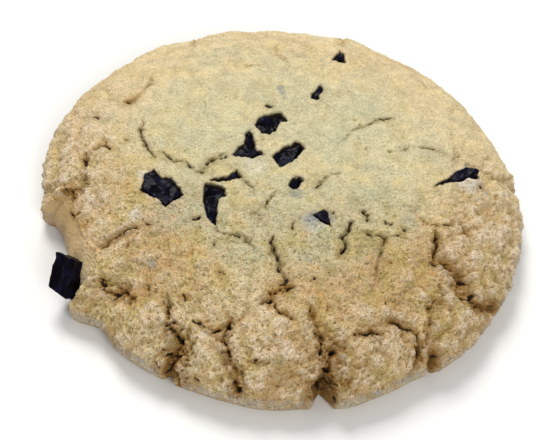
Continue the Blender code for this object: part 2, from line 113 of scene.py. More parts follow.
# Cracks of the crust: half width, depth, and then the u and v of each point of the route
CRACKS = (
    (0.45, 1.2, -0.4, -17.4, -0.8, -18.9, 0, -20.5, 0.9, -22.4, 1.2, -24.2, 2.5, -26),
    (0.9, 1.2, 4, -27.3, 2.2, -27.4, 1.2, -29, 0.4, -30.6, -1.2, -31.5),
    (0.35, 0.8, 1, -30.9, 1.8, -32.1, 3.2, -32.8, 4.4, -33.6),
    (0.45, 1.2, 12.7, -11.9, 12.5, -13.8, 11.6, -15.8, 12.3, -17.6, 11, -20.2),
    (0.4, 0.9, 13.2, -8.8, 14.8, -9.1, 15.9, -11.2),
    (0.45, 0.9, 15.6, -13.6, 17.2, -14.2, 19.2, -14.1, 18.8, -16.6, 18.2, -20, 18.3, -23.6),
    (0.6, 1.2, 27.9, -10.2, 28.5, -12.4, 28.2, -15.6, 28.2, -17.6),
    (1, 1.3, 30, -16.2, 32.4, -17.4, 34, -19.4, 36.4, -21.6, 39.4, -22, 43, -20.4, 46, -19.6),
    (0.3, 0.5, 23.6, -5.2, 24.2, -7.6, 26.4, -9, 29.4, -8.5, 31.2, -7.6, 31.7, -5),
    (0.35, 0.6, 31.9, -5.6, 33.4, -8.1, 34.5, -9),
    (1.6, 2.2, 12.6, -52, 12, -47.4, 11.4, -45, 13.2, -42.6, 12, -40.9, 12.2, -37.6),
    (0.9, 1.1, 12.2, -37.6, 10.2, -36.6, 9.8, -35.2, 8.2, -33.2, 7.4, -30.6),
    (0.55, 1.1, 15, -34.2, 16.7, -33.6, 18.6, -33.1, 20.2, -33.2),
    (0.55, 1.1, 21.8, -30.6, 24.6, -31.3, 26.4, -31.4, 28, -33.4, 28.6, -35.6, 28.2, -38.2),
    (0.8, 1.3, 34.2, -38, 32.2, -35, 31.6, -33.6),
    (0.6, 0.8, 29.9, -20.6, 29.9, -23.3, 28.2, -26, 28.8, -28.4, 29, -31.6),
    (1.3, 1.5, -14.6, -51, -14.3, -46.2, -16, -44.8, -14.6, -42.4, -13.8, -39.6, -15.6, -37.4),
    (0.55, 0.9, -15.6, -37.4, -16.3, -34.6, -17.1, -31.4),
    (0.8, 1.3, -5.8, -35.6, -6.6, -38.8, -5.6, -40, -5.2, -41.4, -3.6, -43.6, -3.3, -47),
    (0.35, 0.5, -1.8, -41.2, -0.6, -41.2, 1.6, -41),
    (0.5, 0.8, -12, -36, -10.4, -36.6, -8.6, -37.3, -6.6, -36.8),
    (0.8, 1.3, -28.8, -31.4, -27.4, -32.2, -25.8, -31.4, -24.2, -32.5, -23, -32.3),
    (0.4, 0.8, -28.8, -27.6, -28.4, -29, -28.9, -31),
    (0.5, 0.9, -30.6, -22.5, -28.2, -20.7, -26.6, -19.7, -25.4, -18.9, -23.8, -18.6),
    (0.4, 0.8, -12, -17, -9.4, -18.2, -6.4, -18.3, -4.2, -20, -3.2, -20.8),
    (0.45, 0.8, -28, 19.8, -27.3, 17.6, -28.2, 14.8, -29.4, 12.9, -31.8, 11.8),
    (0.35, 0.7, -27.5, 8, -27.2, 6.4, -27.3, 4.4, -26.7, 2, -25, -1.1, -23.8, -2.6),
    (0.4, 0.7, -22.8, -0.6, -20.6, -2.5, -19, -2.2, -17.6, -3.4, -16.4, -4.1),
    (0.6, 0.8, -15.8, -4.8, -14.4, -4.1, -14.1, -1.9, -12.8, -0.4, -11, 0.9),
    (0.5, 0.8, -32.4, -0.6, -33.6, 0.4, -35.6, 0.1, -37.6, -1.4, -37.8, -3.6),
    (0.7, 1, -40.6, -9.2, -38.6, -10, -37.6, -11.8),
    (0.6, 0.9, -37.4, -6.2, -36.4, -8.2, -37, -9.6, -36, -11),
    (0.4, 0.5, -13.6, 25.9, -11.6, 25.7, -10.2, 24.4, -7.6, 24.6),
    (0.5, 0.5, -5, 32.5, -4.9, 30, -2.6, 27.6, -1.8, 25.8), (0.6, 0.8, 8.6, 46, 8, 40, 7.9, 36),
    (0.5, 0.6, -21.4, 40, -22, 35.6, -21.6, 32),
    (0.3, 0.5, 8.6, 5.5, 9.2, 7, 11.5, 10.8, 14.5, 12.9, 17.1, 14.8, 18.6, 15.6),
    (0.3, 0.5, 18.4, 6.7, 21.3, 7.5, 22.9, 8.8, 26.3, 9.2, 28.8, 8.7),
    (0.35, 0.6, 30.7, 12.7, 31.1, 10.6, 30.4, 8.4, 32.2, 9.7),
    (0.45, 0.9, 34, 8, 40, 8, 42.6, 10.4, 46, 14), (0.3, 0.5, 5.9, -4.8, 7.3, -2.6, 8.5, -1, 10.4, -0.1),
    (0.3, 0.5, -7.6, -4.4, -6.3, -6.1, -5, -6.7),
    (0.3, 0.5, -0.9, -6.3, -1.3, -8.1, -2.5, -9.6, -3.7, -11.8, -5, -13.2),
)
CRACK_WANDER = ((0.35, 3.0), (0.3, 1.2), (0.24, 0.6))
CRACK_END = 0.35
OPEN_END = 45.0
# A crack's broken edge over the width that its solid has, how many half widths out
# its edges begin to sink, and the half width below which it is a row of short ones
CRACK_NARROWING = 0.62
SHOULDER = 2.8
THIN_CRACK = 0.42

# Dark pits and tears along the cracks, with their numbers in the same order
PITS = (
    (0.24, 0.7, -7, -18.3, -6.3, -18.4), (0.22, 0.6, -5, -19.4, -4.2, -20),
    (0.26, 0.8, -0.4, -17.4, -0.8, -18.8, 0, -20, -0.1, -21, 0.6, -21.4, 0.9, -22.4),
    (0.28, 0.9, 1, -23.4, 1.4, -24.6), (0.28, 0.8, 2.3, -25.7, 2.7, -26.1),
    (0.4, 1.1, 2.4, -26.7, 1.9, -27.3, 2, -27.9), (0.25, 0.8, 3.1, -27.6, 4, -27.3),
    (0.2, 0.6, 1.2, -29, 0.6, -29.4), (0.36, 0.9, 0.6, -30.4, 0.1, -30.9),
    (0.15, 0.5, 1.3, -31.2, 1.8, -32.1, 3.2, -32.8, 4.2, -33.5), (0.2, 0.6, 2.8, -13.9, 2.7, -15.4),
    (0.22, 0.5, 9.5, -10.6, 9.6, -10.8),
    (0.25, 0.8, 12.7, -11.9, 12.6, -13.6, 11.5, -15.6, 11.8, -16.9, 12.5, -17.7, 11.8, -18.8),
    (0.16, 0.5, -8.9, -26.1, -8, -26.5), (0.17, 0.4, -10.5, -20.6, -10.4, -20.9),
    (0.17, 0.4, 9.2, -23.2, 9.7, -23.5), (0.17, 0.4, 7.5, -25.3, 7.4, -25.6),
    (0.13, 0.3, -5, -13.3, -4.1, -12.8, -3.3, -13.2), (0.42, 1.2, -5.8, -35.7, -5.9, -36.5, -6.1, -37.2),
    (0.26, 0.7, -6.5, -38.7, -5.8, -39.6), (0.36, 1, -5.4, -40.6, -5.2, -41.2),
    (0.4, 1.1, -3.8, -45.4, -3.2, -46, -2.8, -46.8), (0.25, 0.8, 10.1, -35.4, 8.6, -35.2),
    (0.22, 0.8, 10.2, -36.6, 10.3, -38, 10.3, -39.1), (0.36, 1.1, 11.6, -38, 12.5, -37.4),
    (0.34, 1.2, 11.6, -40.8, 12.2, -41.4), (0.45, 1.5, 10.4, -44.6, 11.8, -46.4, 12.8, -48),
    (0.3, 0.9, 14.6, -46, 14.8, -46.5), (0.18, 0.6, 13.2, -44, 14, -42.9),
    (0.24, 0.6, 15.4, -33.9, 16.7, -33.7, 18.5, -33.2, 19.9, -33.3), (0.2, 0.4, -0.7, -41.2, -0.4, -41.2),
    (0.13, 0.3, 4.5, -42.8, 5.8, -43.2), (0.19, 0.5, 20.6, -27.4, 20.6, -27.7),
    (0.22, 0.7, 22, -30.7, 23.5, -30.9, 24.5, -31.4, 25.8, -31.1, 27.5, -32.3),
    (0.32, 1, 27.8, -33.6, 28.6, -33.2), (0.2, 0.6, 28.4, -34.4, 28.6, -35.5),
    (0.2, 0.5, 27.7, -26.3, 28.5, -25.7), (0.22, 0.5, 28.7, -28.1, 29, -28.7),
    (0.42, 1.2, 32.6, -35.8, 31.9, -34), (0.26, 0.8, 14.8, -9.1, 15.6, -10.2, 15.9, -11.1),
    (0.2, 0.6, 15.8, -13.8, 16.6, -14.5), (0.28, 0.8, 17.9, -13.8, 19.2, -14.1),
    (0.19, 0.6, 18.7, -10.4, 19.4, -11.2, 20, -10.6), (0.28, 0.7, 22.4, -11.4, 22.5, -11.6),
    (0.15, 0.4, 20.2, -13.4, 21.6, -12.7),
    (0.13, 0.3, 25.4, -8.6, 26.5, -9, 28.3, -8.8, 29.4, -8.4, 30.8, -7.9),
    (0.26, 0.8, 27.9, -10.4, 28.4, -11.3), (0.22, 0.7, 28.6, -12.5, 28.4, -14.3, 28.2, -15.5),
    (0.38, 1.1, 27.8, -17.1, 28.4, -17.5), (0.15, 0.5, 33.4, -8.1, 34.5, -8.9),
    (0.22, 0.7, 30.1, -16.3, 31.2, -16.4), (0.26, 0.8, 32.5, -17.3, 33.8, -18.6, 35.2, -19),
    (0.26, 0.8, 33.6, -21.7, 34.6, -22, 35.4, -21.8), (0.32, 0.9, 36.8, -21.9, 38.1, -22, 39.3, -22),
    (0.26, 0.7, 42.6, -20.4, 43.2, -19.9), (0.34, 0.8, 36, -21.2, 37.1, -20.3),
    (0.3, 0.5, 35.9, 3.3, 36.3, 3.2), (0.13, 0.3, 26.7, -1.7, 27.2, -0.8),
    (0.15, 0.4, 20.3, -18.9, 20.4, -19.1),
    (0.22, 0.7, -40.6, -9.2, -39.1, -9.5, -38.1, -10.6, -37.6, -11.7),
    (0.28, 0.9, -40.2, -14.5, -38.8, -15.7),
    (0.24, 0.6, -28.3, -20.6, -26.7, -20, -25.6, -19.3, -24.3, -18.8),
    (0.14, 0.4, -22.7, -18, -21.6, -18.1), (0.22, 0.6, -28.8, -28.2, -28.9, -30.8),
    (0.3, 0.8, -28, -31.8, -27.2, -32, -27.6, -32.9), (0.24, 0.6, -26.7, -30.9, -25.7, -31.5),
    (0.16, 0.5, -24.3, -32.5, -23.2, -32.4), (0.14, 0.4, -21.8, -30.4, -21, -29.7, -20.6, -30.5),
    (0.22, 0.7, -14.2, -31.3, -14, -32.2), (0.22, 0.5, -17, -33.5, -16.3, -34.6),
    (0.28, 0.8, -16.6, -36.9, -15.4, -36.4), (0.36, 1.1, -16.1, -37.5, -15.3, -37.8),
    (0.42, 1.1, -14.6, -38.5, -14, -39.7, -13.4, -40), (0.22, 0.7, -16.3, -42, -15.1, -43, -13, -41.9),
    (0.3, 0.9, -15.5, -44.6, -16.3, -45.6, -17, -46.2), (0.28, 0.9, -10.7, -45.8, -10.2, -46.3),
    (0.2, 0.6, -8.5, -37.4, -7.6, -37), (0.18, 0.4, -12, -36.1, -10.9, -36.2, -10, -36.7),
    (0.2, 0.5, -33.7, 1.4, -33.6, 0.5, -32.6, -0.5), (0.28, 0.5, -38.2, -2, -37.6, -3.4),
    (0.26, 0.5, -30, 2, -29.8, 1.8), (0.3, 0.6, -37.1, 8.7, -36.3, 8.5),
    (0.13, 0.3, -31.4, 11.9, -29.2, 13), (0.16, 0.3, -27.4, 4.4, -26.8, 2.2, -25, -1, -23.8, -2.6),
    (0.14, 0.3, -22.6, -0.8, -20.6, -2.5), (0.13, 0.3, -18, -2.6, -16.6, -3.9),
    (0.3, 0.4, -15.5, -4.7, -14.5, -4.3), (0.14, 0.4, -14.1, -1.8, -13.2, -0.7, -12, -0.1),
    (0.3, 0.4, -11.6, -0.2, -11, 0.6), (0.3, 0.4, -5.1, 14.1, -4, 13.4),
    (0.12, 0.3, 13.3, 11.8, 15.5, 13.9, 18.5, 15.6), (0.12, 0.3, 25.2, 9.2, 27.6, 9.4, 28.7, 8.7),
    (0.18, 0.3, 30.4, 8.4, 30.2, 8), (0.14, 0.3, 5.9, -4.8, 7, -3.4, 7.4, -2),
    (0.18, 0.4, -7.6, -4.4, -6.3, -6.1, -5.2, -6.6), (0.13, 0.3, -1.3, -8.1, -2.3, -9.3, -2.6, -10.9),
    (0.3, 0.7, -14.6, -16.3, -13.8, -15.6),
)

# Relief that is finer than the solids': lumps of the front and the seams between
# them, small pocks, crumb and grain, crags of the sides and rubble beside cracks
# (height, size), and the soft swells of the back (height, size, seed)
LUMP_HEIGHT = 0.45
LUMP_SIZE = 5.5
POCK_DEPTH = 0.28
CRUMB_SIZE = 2.8
GRAIN_SIZE = 0.5
SIDE_CRAG = (0.6, 3.4)
RUBBLE = (0.65, 1.3)
BACK_SWELLS = ((0.22, 3.2, 29), (0.3, 7.0, 32))

# Pores of the crust, most of them beside cracks
PORE_SPACING = 1.5
PORE_RADIUS = 0.42
PORE_DEPTH = 0.4
FINE_PORE_SPACING = 0.85
FINE_PORE_RADIUS = 0.27
FINE_PORE_DEPTH = 0.22

# Lumps with pale tops, partly dry sugar and partly painted highlight: (u, v, radius, strength)
DRY_AND_LIT_TOPS = (
    (2, -37.5, 4.6, 0.9), (17, -41, 3.5, 0.6), (21, -36, 3, 0.4), (36, -27, 3.5, 0.5),
    (37, -13, 4.5, 0.6), (-34, -13, 4, 0.9), (-27, -22, 4, 0.7), (-32, -17, 3, 0.7), (-11, -42, 2.5, 0.4),
    (-36, 2, 4, 0.6), (-38, 8, 3.5, 0.5), (40, -6, 4, 0.5),
)

# Flour-white marks on the crust: (u, v, radius, strength)
PALE_MARKS = (
    (6.2, -14.2, 2.2, 0.6), (33.5, 3, 2.4, 0.9), (-24.9, -16.3, 1.2, 0.8), (-25.3, -7, 1, 0.8),
    (-10.9, -6.9, 0.8, 0.8), (-5.5, -0.8, 2.5, 0.4), (31.5, -19.8, 0.5, 0.8), (-17, -40.9, 0.4, 0.8),
    (-15.6, -38.4, 0.5, 0.8), (-9.3, -38, 0.8, 0.8), (15.2, -41, 0.5, 0.8),
)

# Chunks: name, height over the crust, thickness, and then x and y of each outline point
CHUNKS = (
    ("left_top", 0.1, 4, -24.6, -10.2, -24.6, -6.8, -23.4, -5.6, -22.5, -6.5, -21.5, -7.4, -20, -6.9,
     -18.5, -9.2, -17.2, -10.7, -19, -12.3, -20, -13.7, -22, -11.9),
    ("tall", -0.7, 3.6, -13.9, -7, -12.4, -7.3, -10.4, -7.9, -9.8, -9.2, -10.9, -10.2, -11.1, -12.6,
     -10.7, -16.6, -11.4, -16.3, -12.6, -14.8, -13.5, -10),
    ("sliver", -0.4, 2.6, -12.9, -6.4, -10, -4.5, -8.6, -2.8, -8.3, -3.6, -7.7, -4.3, -9.2, -5.3),
    ("twin", -0.3, 3.4, -9.8, 1.1, -8.9, 3.4, -7.8, 4.2, -7.8, 7, -7.4, 7.6, -6.8, 6.6, -6.2, 4.4,
     -5.6, 2.6, -4.6, 2.6, -4.3, 1.7, -6.4, 1),
    ("back", -0.2, 3.4, -6.6, 9.1, -6.1, 10.6, -5.2, 11.3, -2.3, 12.4, -0.8, 10.9, -2.1, 10.6, -3, 7.9,
     -3.7, 7.3, -5, 7.7),
    ("middle", -0.6, 3.6, -2.4, 1.4, -2, 2.8, -1, 3.9, 1.4, 5.6, 2.3, 5.5, 3.1, 4.4, 1, 1.1,
     -0.8, -0.5, -1.5, 0.6),
    ("in_hole", -1, 2.6, 1.1, -4.9, 1.1, -3.6, 2, -2.8, 2.9, -2.5, 3.3, -3.5, 2.6, -5.2),
    ("front", 0, 2.8, 6, -12.4, 7.1, -11.2, 7.8, -10.4, 8.5, -11, 8.9, -12.1, 9.1, -13.9, 8, -13.4),
    ("right", -0.2, 3.2, 27.4, 0.1, 29.9, 2.9, 31.4, 4.9, 32.9, 6.3, 34.2, 6.8, 35.5, 5.7, 34.2, 4,
     31.6, 2.8, 29.6, 1.6),
    ("small_back", -0.3, 2.4, 3.1, 17.6, 3.3, 18.9, 4.5, 21.2, 5.1, 20.6, 4.5, 18.2, 3.9, 17.4),
    ("far_back", -0.4, 2.2, 6.4, 29.9, 7.6, 33.3, 8.5, 33, 8.7, 30.2),
)
CHUNK_TAPER = 0.8
CHUNK_UNEVEN = 0.35
CHUNK_VOXEL = 0.13
CHUNK_SEED = 20

# The pockets that the chunks sit in, and the raised edge of each: height, distance
# from the chunk and width
POCKET_DEPTH = 1.3
POCKET_EDGE = (0.14, 0.7, 0.5)

# Where painted shade darkens the crust along the scoop's lip: distances and angles
LIP_SHADE_RUN = (36.0, 39.0)
LIP_SHADE_START = (192.0, 195.0)
LIP_SHADE_END = (216.0, 205.0)

# The greyish strip of painted shade at the foot of the rim: how far up from the base edge it fades
FOOT_SHADE_STRIP = (5.3, 4.2)

# The block that stands out of the scoop
BLOCK_SIZE = (3.9, 7.6, 4.8)
BLOCK_CENTRE = (-35.1, -25.9, 5.75)
BLOCK_TURN = (38.0, -20.0, -21.0)
BLOCK_OBLIQUE = (0.18, 0.38)
BLOCK_VOXEL = 0.14
BLOCK_SEED = 60

# Films of melted chocolate on the crust: (u, v, radius, strength)
STAINS = (
    (-2.9, 18.8, 0.8, 0.9), (-2.4, 17.6, 0.7, 0.8), (-1.8, 16.4, 0.5, 0.7), (35, -0.5, 0.5, 0.8),
    (37.1, 2.3, 0.5, 0.8), (31.7, -5.4, 0.5, 0.8), (32.3, -6.9, 0.4, 0.8), (33.6, 7.8, 0.9, 0.7),
    (-21, -26.5, 0.9, 0.7), (6, -21.5, 1, 0.6), (22.3, -11.5, 0.5, 0.7), (-19.5, -16, 0.9, 0.6),
    (-18.5, -15.5, 4.5, 0.22), (23, -9.5, 1.8, 0.35), (2.4, -6.3, 1.5, 0.7), (6, -13, 2.2, 0.8),
    (8.6, -12, 1.6, 0.8),
)

# What the dough's material reads at each point of its mesh
FIELDS = ("toast", "crack", "pit_and_shade", "hollow_shade", "dusty_and_lit", "stain", "pale", "rough", "foot", "base")

# The photograph's viewpoint
VIEW_ELEVATION = 49.15
VIEW_DISTANCE = 300.0
VIEW_ROLL = 7.768
VIEW_TARGET = (-0.538, -6.546, 6.0)
VIEW_LENS = 107.6
SENSOR_WIDTH = 36.0

# The stage, in metres and watts: (name, place, size, power) for each lamp
FLOOR_REACH = 1.5
SKY_COLOUR = (0.92, 0.95, 1.0, 1.0)
SKY_STRENGTH = 0.5
LAMPS = (
    ("window_light", (-0.25, 0.55, 0.75), 0.4, 8.1),
    ("fill_light", (0.35, -0.7, 0.6), 0.4, 4.2),
)

# Each seed of a noise reads its own part of space, this far from the next
NOISE_SHIFT = (7.31, -3.17, 5.53)


def linear(colour):
    """An sRGB hex colour as linear red, green and blue."""
    parts = [int(colour[i : i + 2], 16) / 255.0 for i in (1, 3, 5)]
    return [c / 12.92 if c <= 0.04045 else ((c + 0.055) / 1.055) ** 2.4 for c in parts]


def colour_property(name, description, value):
    """A colour that the user can change."""
    return FloatVectorProperty(
        name=name, description=description, default=linear(value), subtype="COLOR", min=0, max=1
    )


class CookieSizes(bpy.types.PropertyGroup):
    """Sizes of the cookie's finish."""

    crack_depth: FloatProperty(
        name="Crack depth", description="Depth of the cracks over their usual depth",
        default=1.0, min=0, max=2, subtype="FACTOR",
    )
    grain_height: FloatProperty(
        name="Grain height", description="Height of the crust's coarse grain",
        default=0.00022, min=0, unit="LENGTH",
    )
    chocolate_rounding: FloatProperty(
        name="Chocolate rounding", description="How much the heat has rounded the chocolate's edges",
        default=0.0003, min=0, unit="LENGTH",
    )


class CookieColours(bpy.types.PropertyGroup):
    """Colours of the cookie and the stage."""

    middle: colour_property("Middle", "Pale crust in the middle of the top", "#D6CEA5")
    golden: colour_property("Golden", "Golden crust at the rim", "#EBD6A8")
    toasted: colour_property("Toasted", "Browner crust at the front", "#EBD3A4")
    ochre: colour_property("Ochre", "Browner patches of the front", "#C8995A")
    olive: colour_property("Olive", "Yellower patches of the front", "#C4AE62")
    # Crumb and Dry crumb are the crumb in cracks and also painted shade in hollows, pores and creases
    crumb_and_shade: colour_property("Crumb", "Moist crumb in shallow cracks", "#B28641")
    dry_crumb_and_shade: colour_property("Dry crumb", "Crumb in the thin cracks of the pale middle", "#94814C")
    # Crack is the deep crack colour and also painted shade deep in hollows and crevices
    crack: colour_property("Crack", "Deeper part of the cracks", "#84591F")
    # Pit is the torn pits' colour and also painted shade in pores, notches and the gaps round the
    # chocolate
    pit_and_shade: colour_property("Pit", "Torn dark pits in the cracks", "#2C1B0A")
    pale: colour_property("Pale", "Flour-white marks", "#E9EAE2")
    # Rim foot is painted shade at the foot of the rim
    rim_foot_shade: colour_property("Rim foot", "Greyish strip where the rim meets the tray", "#B9AFA0")
    # Dust is dry sugar and also painted highlight on raised tops and the sides
    dust_and_highlight: colour_property("Dust", "Dry, sugary tops of the lumps", "#EFDABC")
    stain: colour_property("Stain", "Film of melted chocolate on the crust", "#8F979A")
    underside: colour_property("Underside", "Browned base", "#C69A5C")
    scorched: colour_property("Scorched", "Darker patches of the base", "#96683A")
    chocolate: colour_property("Chocolate", "Dark chocolate", "#060408")
    # Bloom is partly the chocolate's bluish bloom and partly painted sheen
    bloom_and_sheen: colour_property("Bloom", "Bluish bloom on the chocolate", "#16152E")
    floor: colour_property("Floor", "The pale floor", "#E9E7E2")


def held(value):
    """A value kept between 0 and 1."""
    return np.clip(value, 0.0, 1.0)


def smoothstep(low, high, value):
    """0 at low and before it, 1 at high and beyond it, and smooth between them."""
    share = held((value - low) / (high - low))
    return share * share * (3.0 - 2.0 * share)


def shifted(points, size, seed):
    """The places at which a noise with features of the given size is read."""
    offset = Vector([seed * part for part in NOISE_SHIFT])
    return (points / size + np.array(offset)).tolist()


def noise_field(points, size, seed):
    """Smooth noise of about -1 to 1 at each point, with features of the given size."""
    return np.array([noise.noise(place) for place in shifted(points, size, seed)])


def crumb_field(points, size, seed, fineness=0.7, sizes=5):
    """Noise of several sizes at once, each half of the one before, as broken crumbs have."""
    places = shifted(points, size, seed)
    return np.array([noise.fractal(place, fineness, 2.0, sizes) for place in places])


def pores_of(points, spacing, radius, seed):
    """Round pores, one to a cell of the given spacing, from 0 outside to 1 at their middles."""
    away = np.array([noise.voronoi(place)[0][0] for place in shifted(points, spacing, seed)]) * spacing
    return held(1.0 - away / radius) ** 0.6


def pairs(flat):
    """Points, from their coordinates in one row."""
    return list(zip(flat[::2], flat[1::2]))


def profile(steps=600):
    """The side view from the middle of the top to the base edge, as distances
    along the surface, radii and heights."""
    turn = np.linspace(0.0, math.pi / 2, steps)
    radius = COOKIE_RADIUS * np.sin(turn) ** (2.0 / SIDE_FULLNESS)
    height = WIDEST_AT + (COOKIE_HEIGHT - WIDEST_AT) * np.cos(turn) ** (2.0 / TOP_FULLNESS)
    drop = np.linspace(0.0, 1.0, steps // 8)[1:]
    radius = np.concatenate((radius, COOKIE_RADIUS - UNDERCUT * drop**2))
    height = np.concatenate((height, WIDEST_AT * (1.0 - drop)))
    lengths = np.hypot(np.diff(radius), np.diff(height))
    return np.concatenate(([0.0], np.cumsum(lengths))), radius, height


def notch_depth(distance, angle):
    """How deep the outline's notches are, at distances from the middle and angles in
    degrees. They are cut in the rim only."""
    depth = np.zeros_like(angle)
    for at, half_width, deepest in OUTLINE_NOTCHES:
        away = np.abs((angle - at + 180.0) % 360.0 - 180.0)
        depth += deepest * held(1.0 - away / half_width) ** 0.8
    return depth * smoothstep(*NOTCH_RUN, distance)


def outline_shift(distance, angle):
    """How far the lobes and notches move the crust out."""
    shift = np.zeros_like(angle)
    for at, half_width, out in OUTLINE_LOBES:
        away = (angle - at + 180.0) % 360.0 - 180.0
        shift += out * np.exp(-((away / half_width) ** 2))
    return shift * smoothstep(14.0, 46.0, distance) - notch_depth(distance, angle)


def to_segment(x, y, start, end):
    """The distance of each point to a segment, and the share of the segment's length at
    which its nearest point lies."""
    (x0, y0), dx, dy = start, end[0] - start[0], end[1] - start[1]
    along = held(((x - x0) * dx + (y - y0) * dy) / (dx * dx + dy * dy))
    return np.hypot(x - x0 - along * dx, y - y0 - along * dy), along


def distance_to_route(u, v, route):
    """The distance of each point to a line through the route's points, and how far
    along the line its nearest point lies, from 0 to 1."""
    nearest = np.full(len(u), 1e9)
    place = np.zeros(len(u))
    whole = sum(math.dist(start, end) for start, end in zip(route, route[1:]))
    passed = 0.0
    for start, end in zip(route, route[1:]):
        away, along = to_segment(u, v, start, end)
        closer = away < nearest
        nearest[closer] = away[closer]
        place[closer] = (passed + along[closer] * math.dist(start, end)) / whole
        passed += math.dist(start, end)
    return nearest, place


def crack_depth(u, v, points):
    """How deep the cracks cut at each point, and how near each point is to the cracks."""
    for seed, (reach, size) in enumerate(CRACK_WANDER):
        u = u + reach * noise_field(points, size, 40 + seed)
        v = v + reach * noise_field(points, size, 50 + seed)
    vary = 1.0 + 0.45 * noise_field(points, 3.5, 60)
    jagged = 1.0 + 1.2 * noise_field(points, 1.0, 61) + 0.6 * noise_field(points, 0.5, 66)
    jagged = np.clip(jagged, 0.2, 2.2)
    bridged = 0.25 + 0.75 * smoothstep(-0.3, 0.2, noise_field(points, 1.5, 62))
    depth = np.zeros(len(u))
    near = np.zeros(len(u))
    for half_width, deepest, *route in CRACKS:
        route = pairs(route)
        away, place = distance_to_route(u, v, route)
        taper = CRACK_END + (1.0 - CRACK_END) * np.sin(math.pi * place) ** 0.6
        if math.hypot(*route[0]) > OPEN_END or math.hypot(*route[-1]) > OPEN_END:
            taper = np.maximum(taper, 0.9)
        width = half_width * vary * taper
        steepness = 0.6 + 0.5 * min(half_width, 1.2)
        cut = held(1.0 - away / (width * CRACK_NARROWING * jagged)) ** steepness
        if half_width < THIN_CRACK:
            cut = cut * smoothstep(0.3, 0.75, bridged)
        sunk = held(1.0 - away / (width * SHOULDER))
        depth = np.maximum(depth, deepest * vary * taper * (0.82 * cut * bridged + 0.18 * sunk**2))
        near = np.maximum(near, (0.4 + 0.8 * min(half_width, 1.0)) * sunk)
    return depth, near


def pit_depth(u, v, points):
    """How deep the dark pits cut at each point, how dark the point is, and how near
    to the pits."""
    u = u + 0.3 * noise_field(points, 0.9, 63)
    v = v + 0.3 * noise_field(points, 0.9, 64)
    ragged = 1.0 + 1.7 * noise_field(points, 0.9, 65) + 0.7 * noise_field(points, 0.45, 67)
    ragged = np.clip(ragged, 0.02, 2.1)
    depth, dark, near = np.zeros((3, len(u)))
    for half_width, deepest, *route in PITS:
        route, margin = pairs(route), 2 * half_width + 2.0
        (low_u, low_v), (high_u, high_v) = np.min(route, 0) - margin, np.max(route, 0) + margin
        here = np.flatnonzero((u > low_u) & (u < high_u) & (v > low_v) & (v < high_v))
        away = distance_to_route(u[here], v[here], route)[0]
        share = away / (half_width * ragged[here])
        depth[here] = np.maximum(depth[here], deepest * held(1.2 - share) ** 0.6)
        dark[here] = np.maximum(dark[here], smoothstep(1.25, 0.4, share))
        near[here] = np.maximum(near[here], np.exp(-((away / (half_width + 0.75)) ** 2)))
    return depth, dark, near


def scoop_depth(distance, angle):
    """How far the scoop in the left side cuts in from the round form. Its upper end is
    a sharp step, and its face runs straight down from a crisp lip."""
    start, end = SCOOP_ANGLES
    across = SCOOP_STEP * smoothstep(start - SCOOP_SHARP, start + SCOOP_SHARP, angle)
    across = across + (1.0 - SCOOP_STEP) * smoothstep(start, start + SCOOP_FADE, angle)
    across = across * (1.0 - SCOOP_EASE * smoothstep(*SCOOP_SHALLOW, angle))
    across = across * smoothstep(end + SCOOP_SHARP, end - SCOOP_SHARP, angle)
    return SCOOP_DEPTH * across * held((distance - SCOOP_LIP) / SCOOP_RUN) ** 0.7


def signed_distance(x, y, outline):
    """The distance of each point to an outline, below zero inside it."""
    nearest = np.full(len(x), 1e9)
    inside = np.zeros(len(x), bool)
    for start, end in zip(outline, outline[1:] + outline[:1]):
        nearest = np.minimum(nearest, to_segment(x, y, start, end)[0])
        (x0, y0), (x1, y1) = start, end
        if y1 != y0:
            inside ^= ((y0 > y) != (y1 > y)) & (x < x0 + (y - y0) * (x1 - x0) / (y1 - y0))
    return np.where(inside, -nearest, nearest)


def broad_relief(distance, angle, flat, cracks):
    """The crust's height over the round form, with its swells, plates and cracks."""
    u, v = distance * np.cos(np.radians(angle)), distance * np.sin(np.radians(angle))
    rim = smoothstep(16.0, 40.0, distance)
    relief = SWELL[0] * noise_field(flat, SWELL[1], 1)
    relief += LUMP[0] * noise_field(flat, LUMP[1], 2) * (0.45 + 0.75 * rim)
    relief += CRAG[0] * noise_field(flat, CRAG[1], 3) * (0.3 + 1.1 * rim)
    for at_u, at_v, size, rise in BUMPS:
        relief += rise * np.exp(-((u - at_u) ** 2 + (v - at_v) ** 2) / size**2)
    smooth = 1.0 - 0.75 * held(scoop_depth(distance, angle) / SCOOP_DEPTH)
    return relief * smooth - cracks


def round_form(distance, angle):
    """Points of the smooth round form, and its slopes out and up along the surface."""
    lengths, radii, heights = profile()
    turn = np.radians(angle)
    radius = np.interp(distance, lengths, radii)
    height = np.interp(distance, lengths, heights)
    slope_out = np.interp(distance, lengths, np.gradient(radii, lengths))
    slope_up = np.interp(distance, lengths, np.gradient(heights, lengths))
    points = np.stack((radius * np.cos(turn), radius * np.sin(turn), height), 1)
    return points, radius, slope_out, slope_up


def place_relief(distance, angle, relief):
    """The crust's points, once the relief stands on the round form."""
    flat, radius, slope_out, slope_up = round_form(distance, angle)
    turn = np.radians(angle)
    reach = profile()[0][-1]
    foot = smoothstep(reach - 0.6, reach - 5.0, distance)
    relief = relief * foot
    moved = radius + outline_shift(distance, angle) + relief * -slope_up
    moved = moved - scoop_depth(distance, angle) * (0.85 + 0.15 * foot)
    height = flat[:, 2] + relief * slope_out
    height = height - MIDDLE_SAG * np.exp(-((radius / MIDDLE_SAG_RADIUS) ** 2))
    return np.stack((moved * np.cos(turn), moved * np.sin(turn), np.maximum(height, 0.0)), 1)


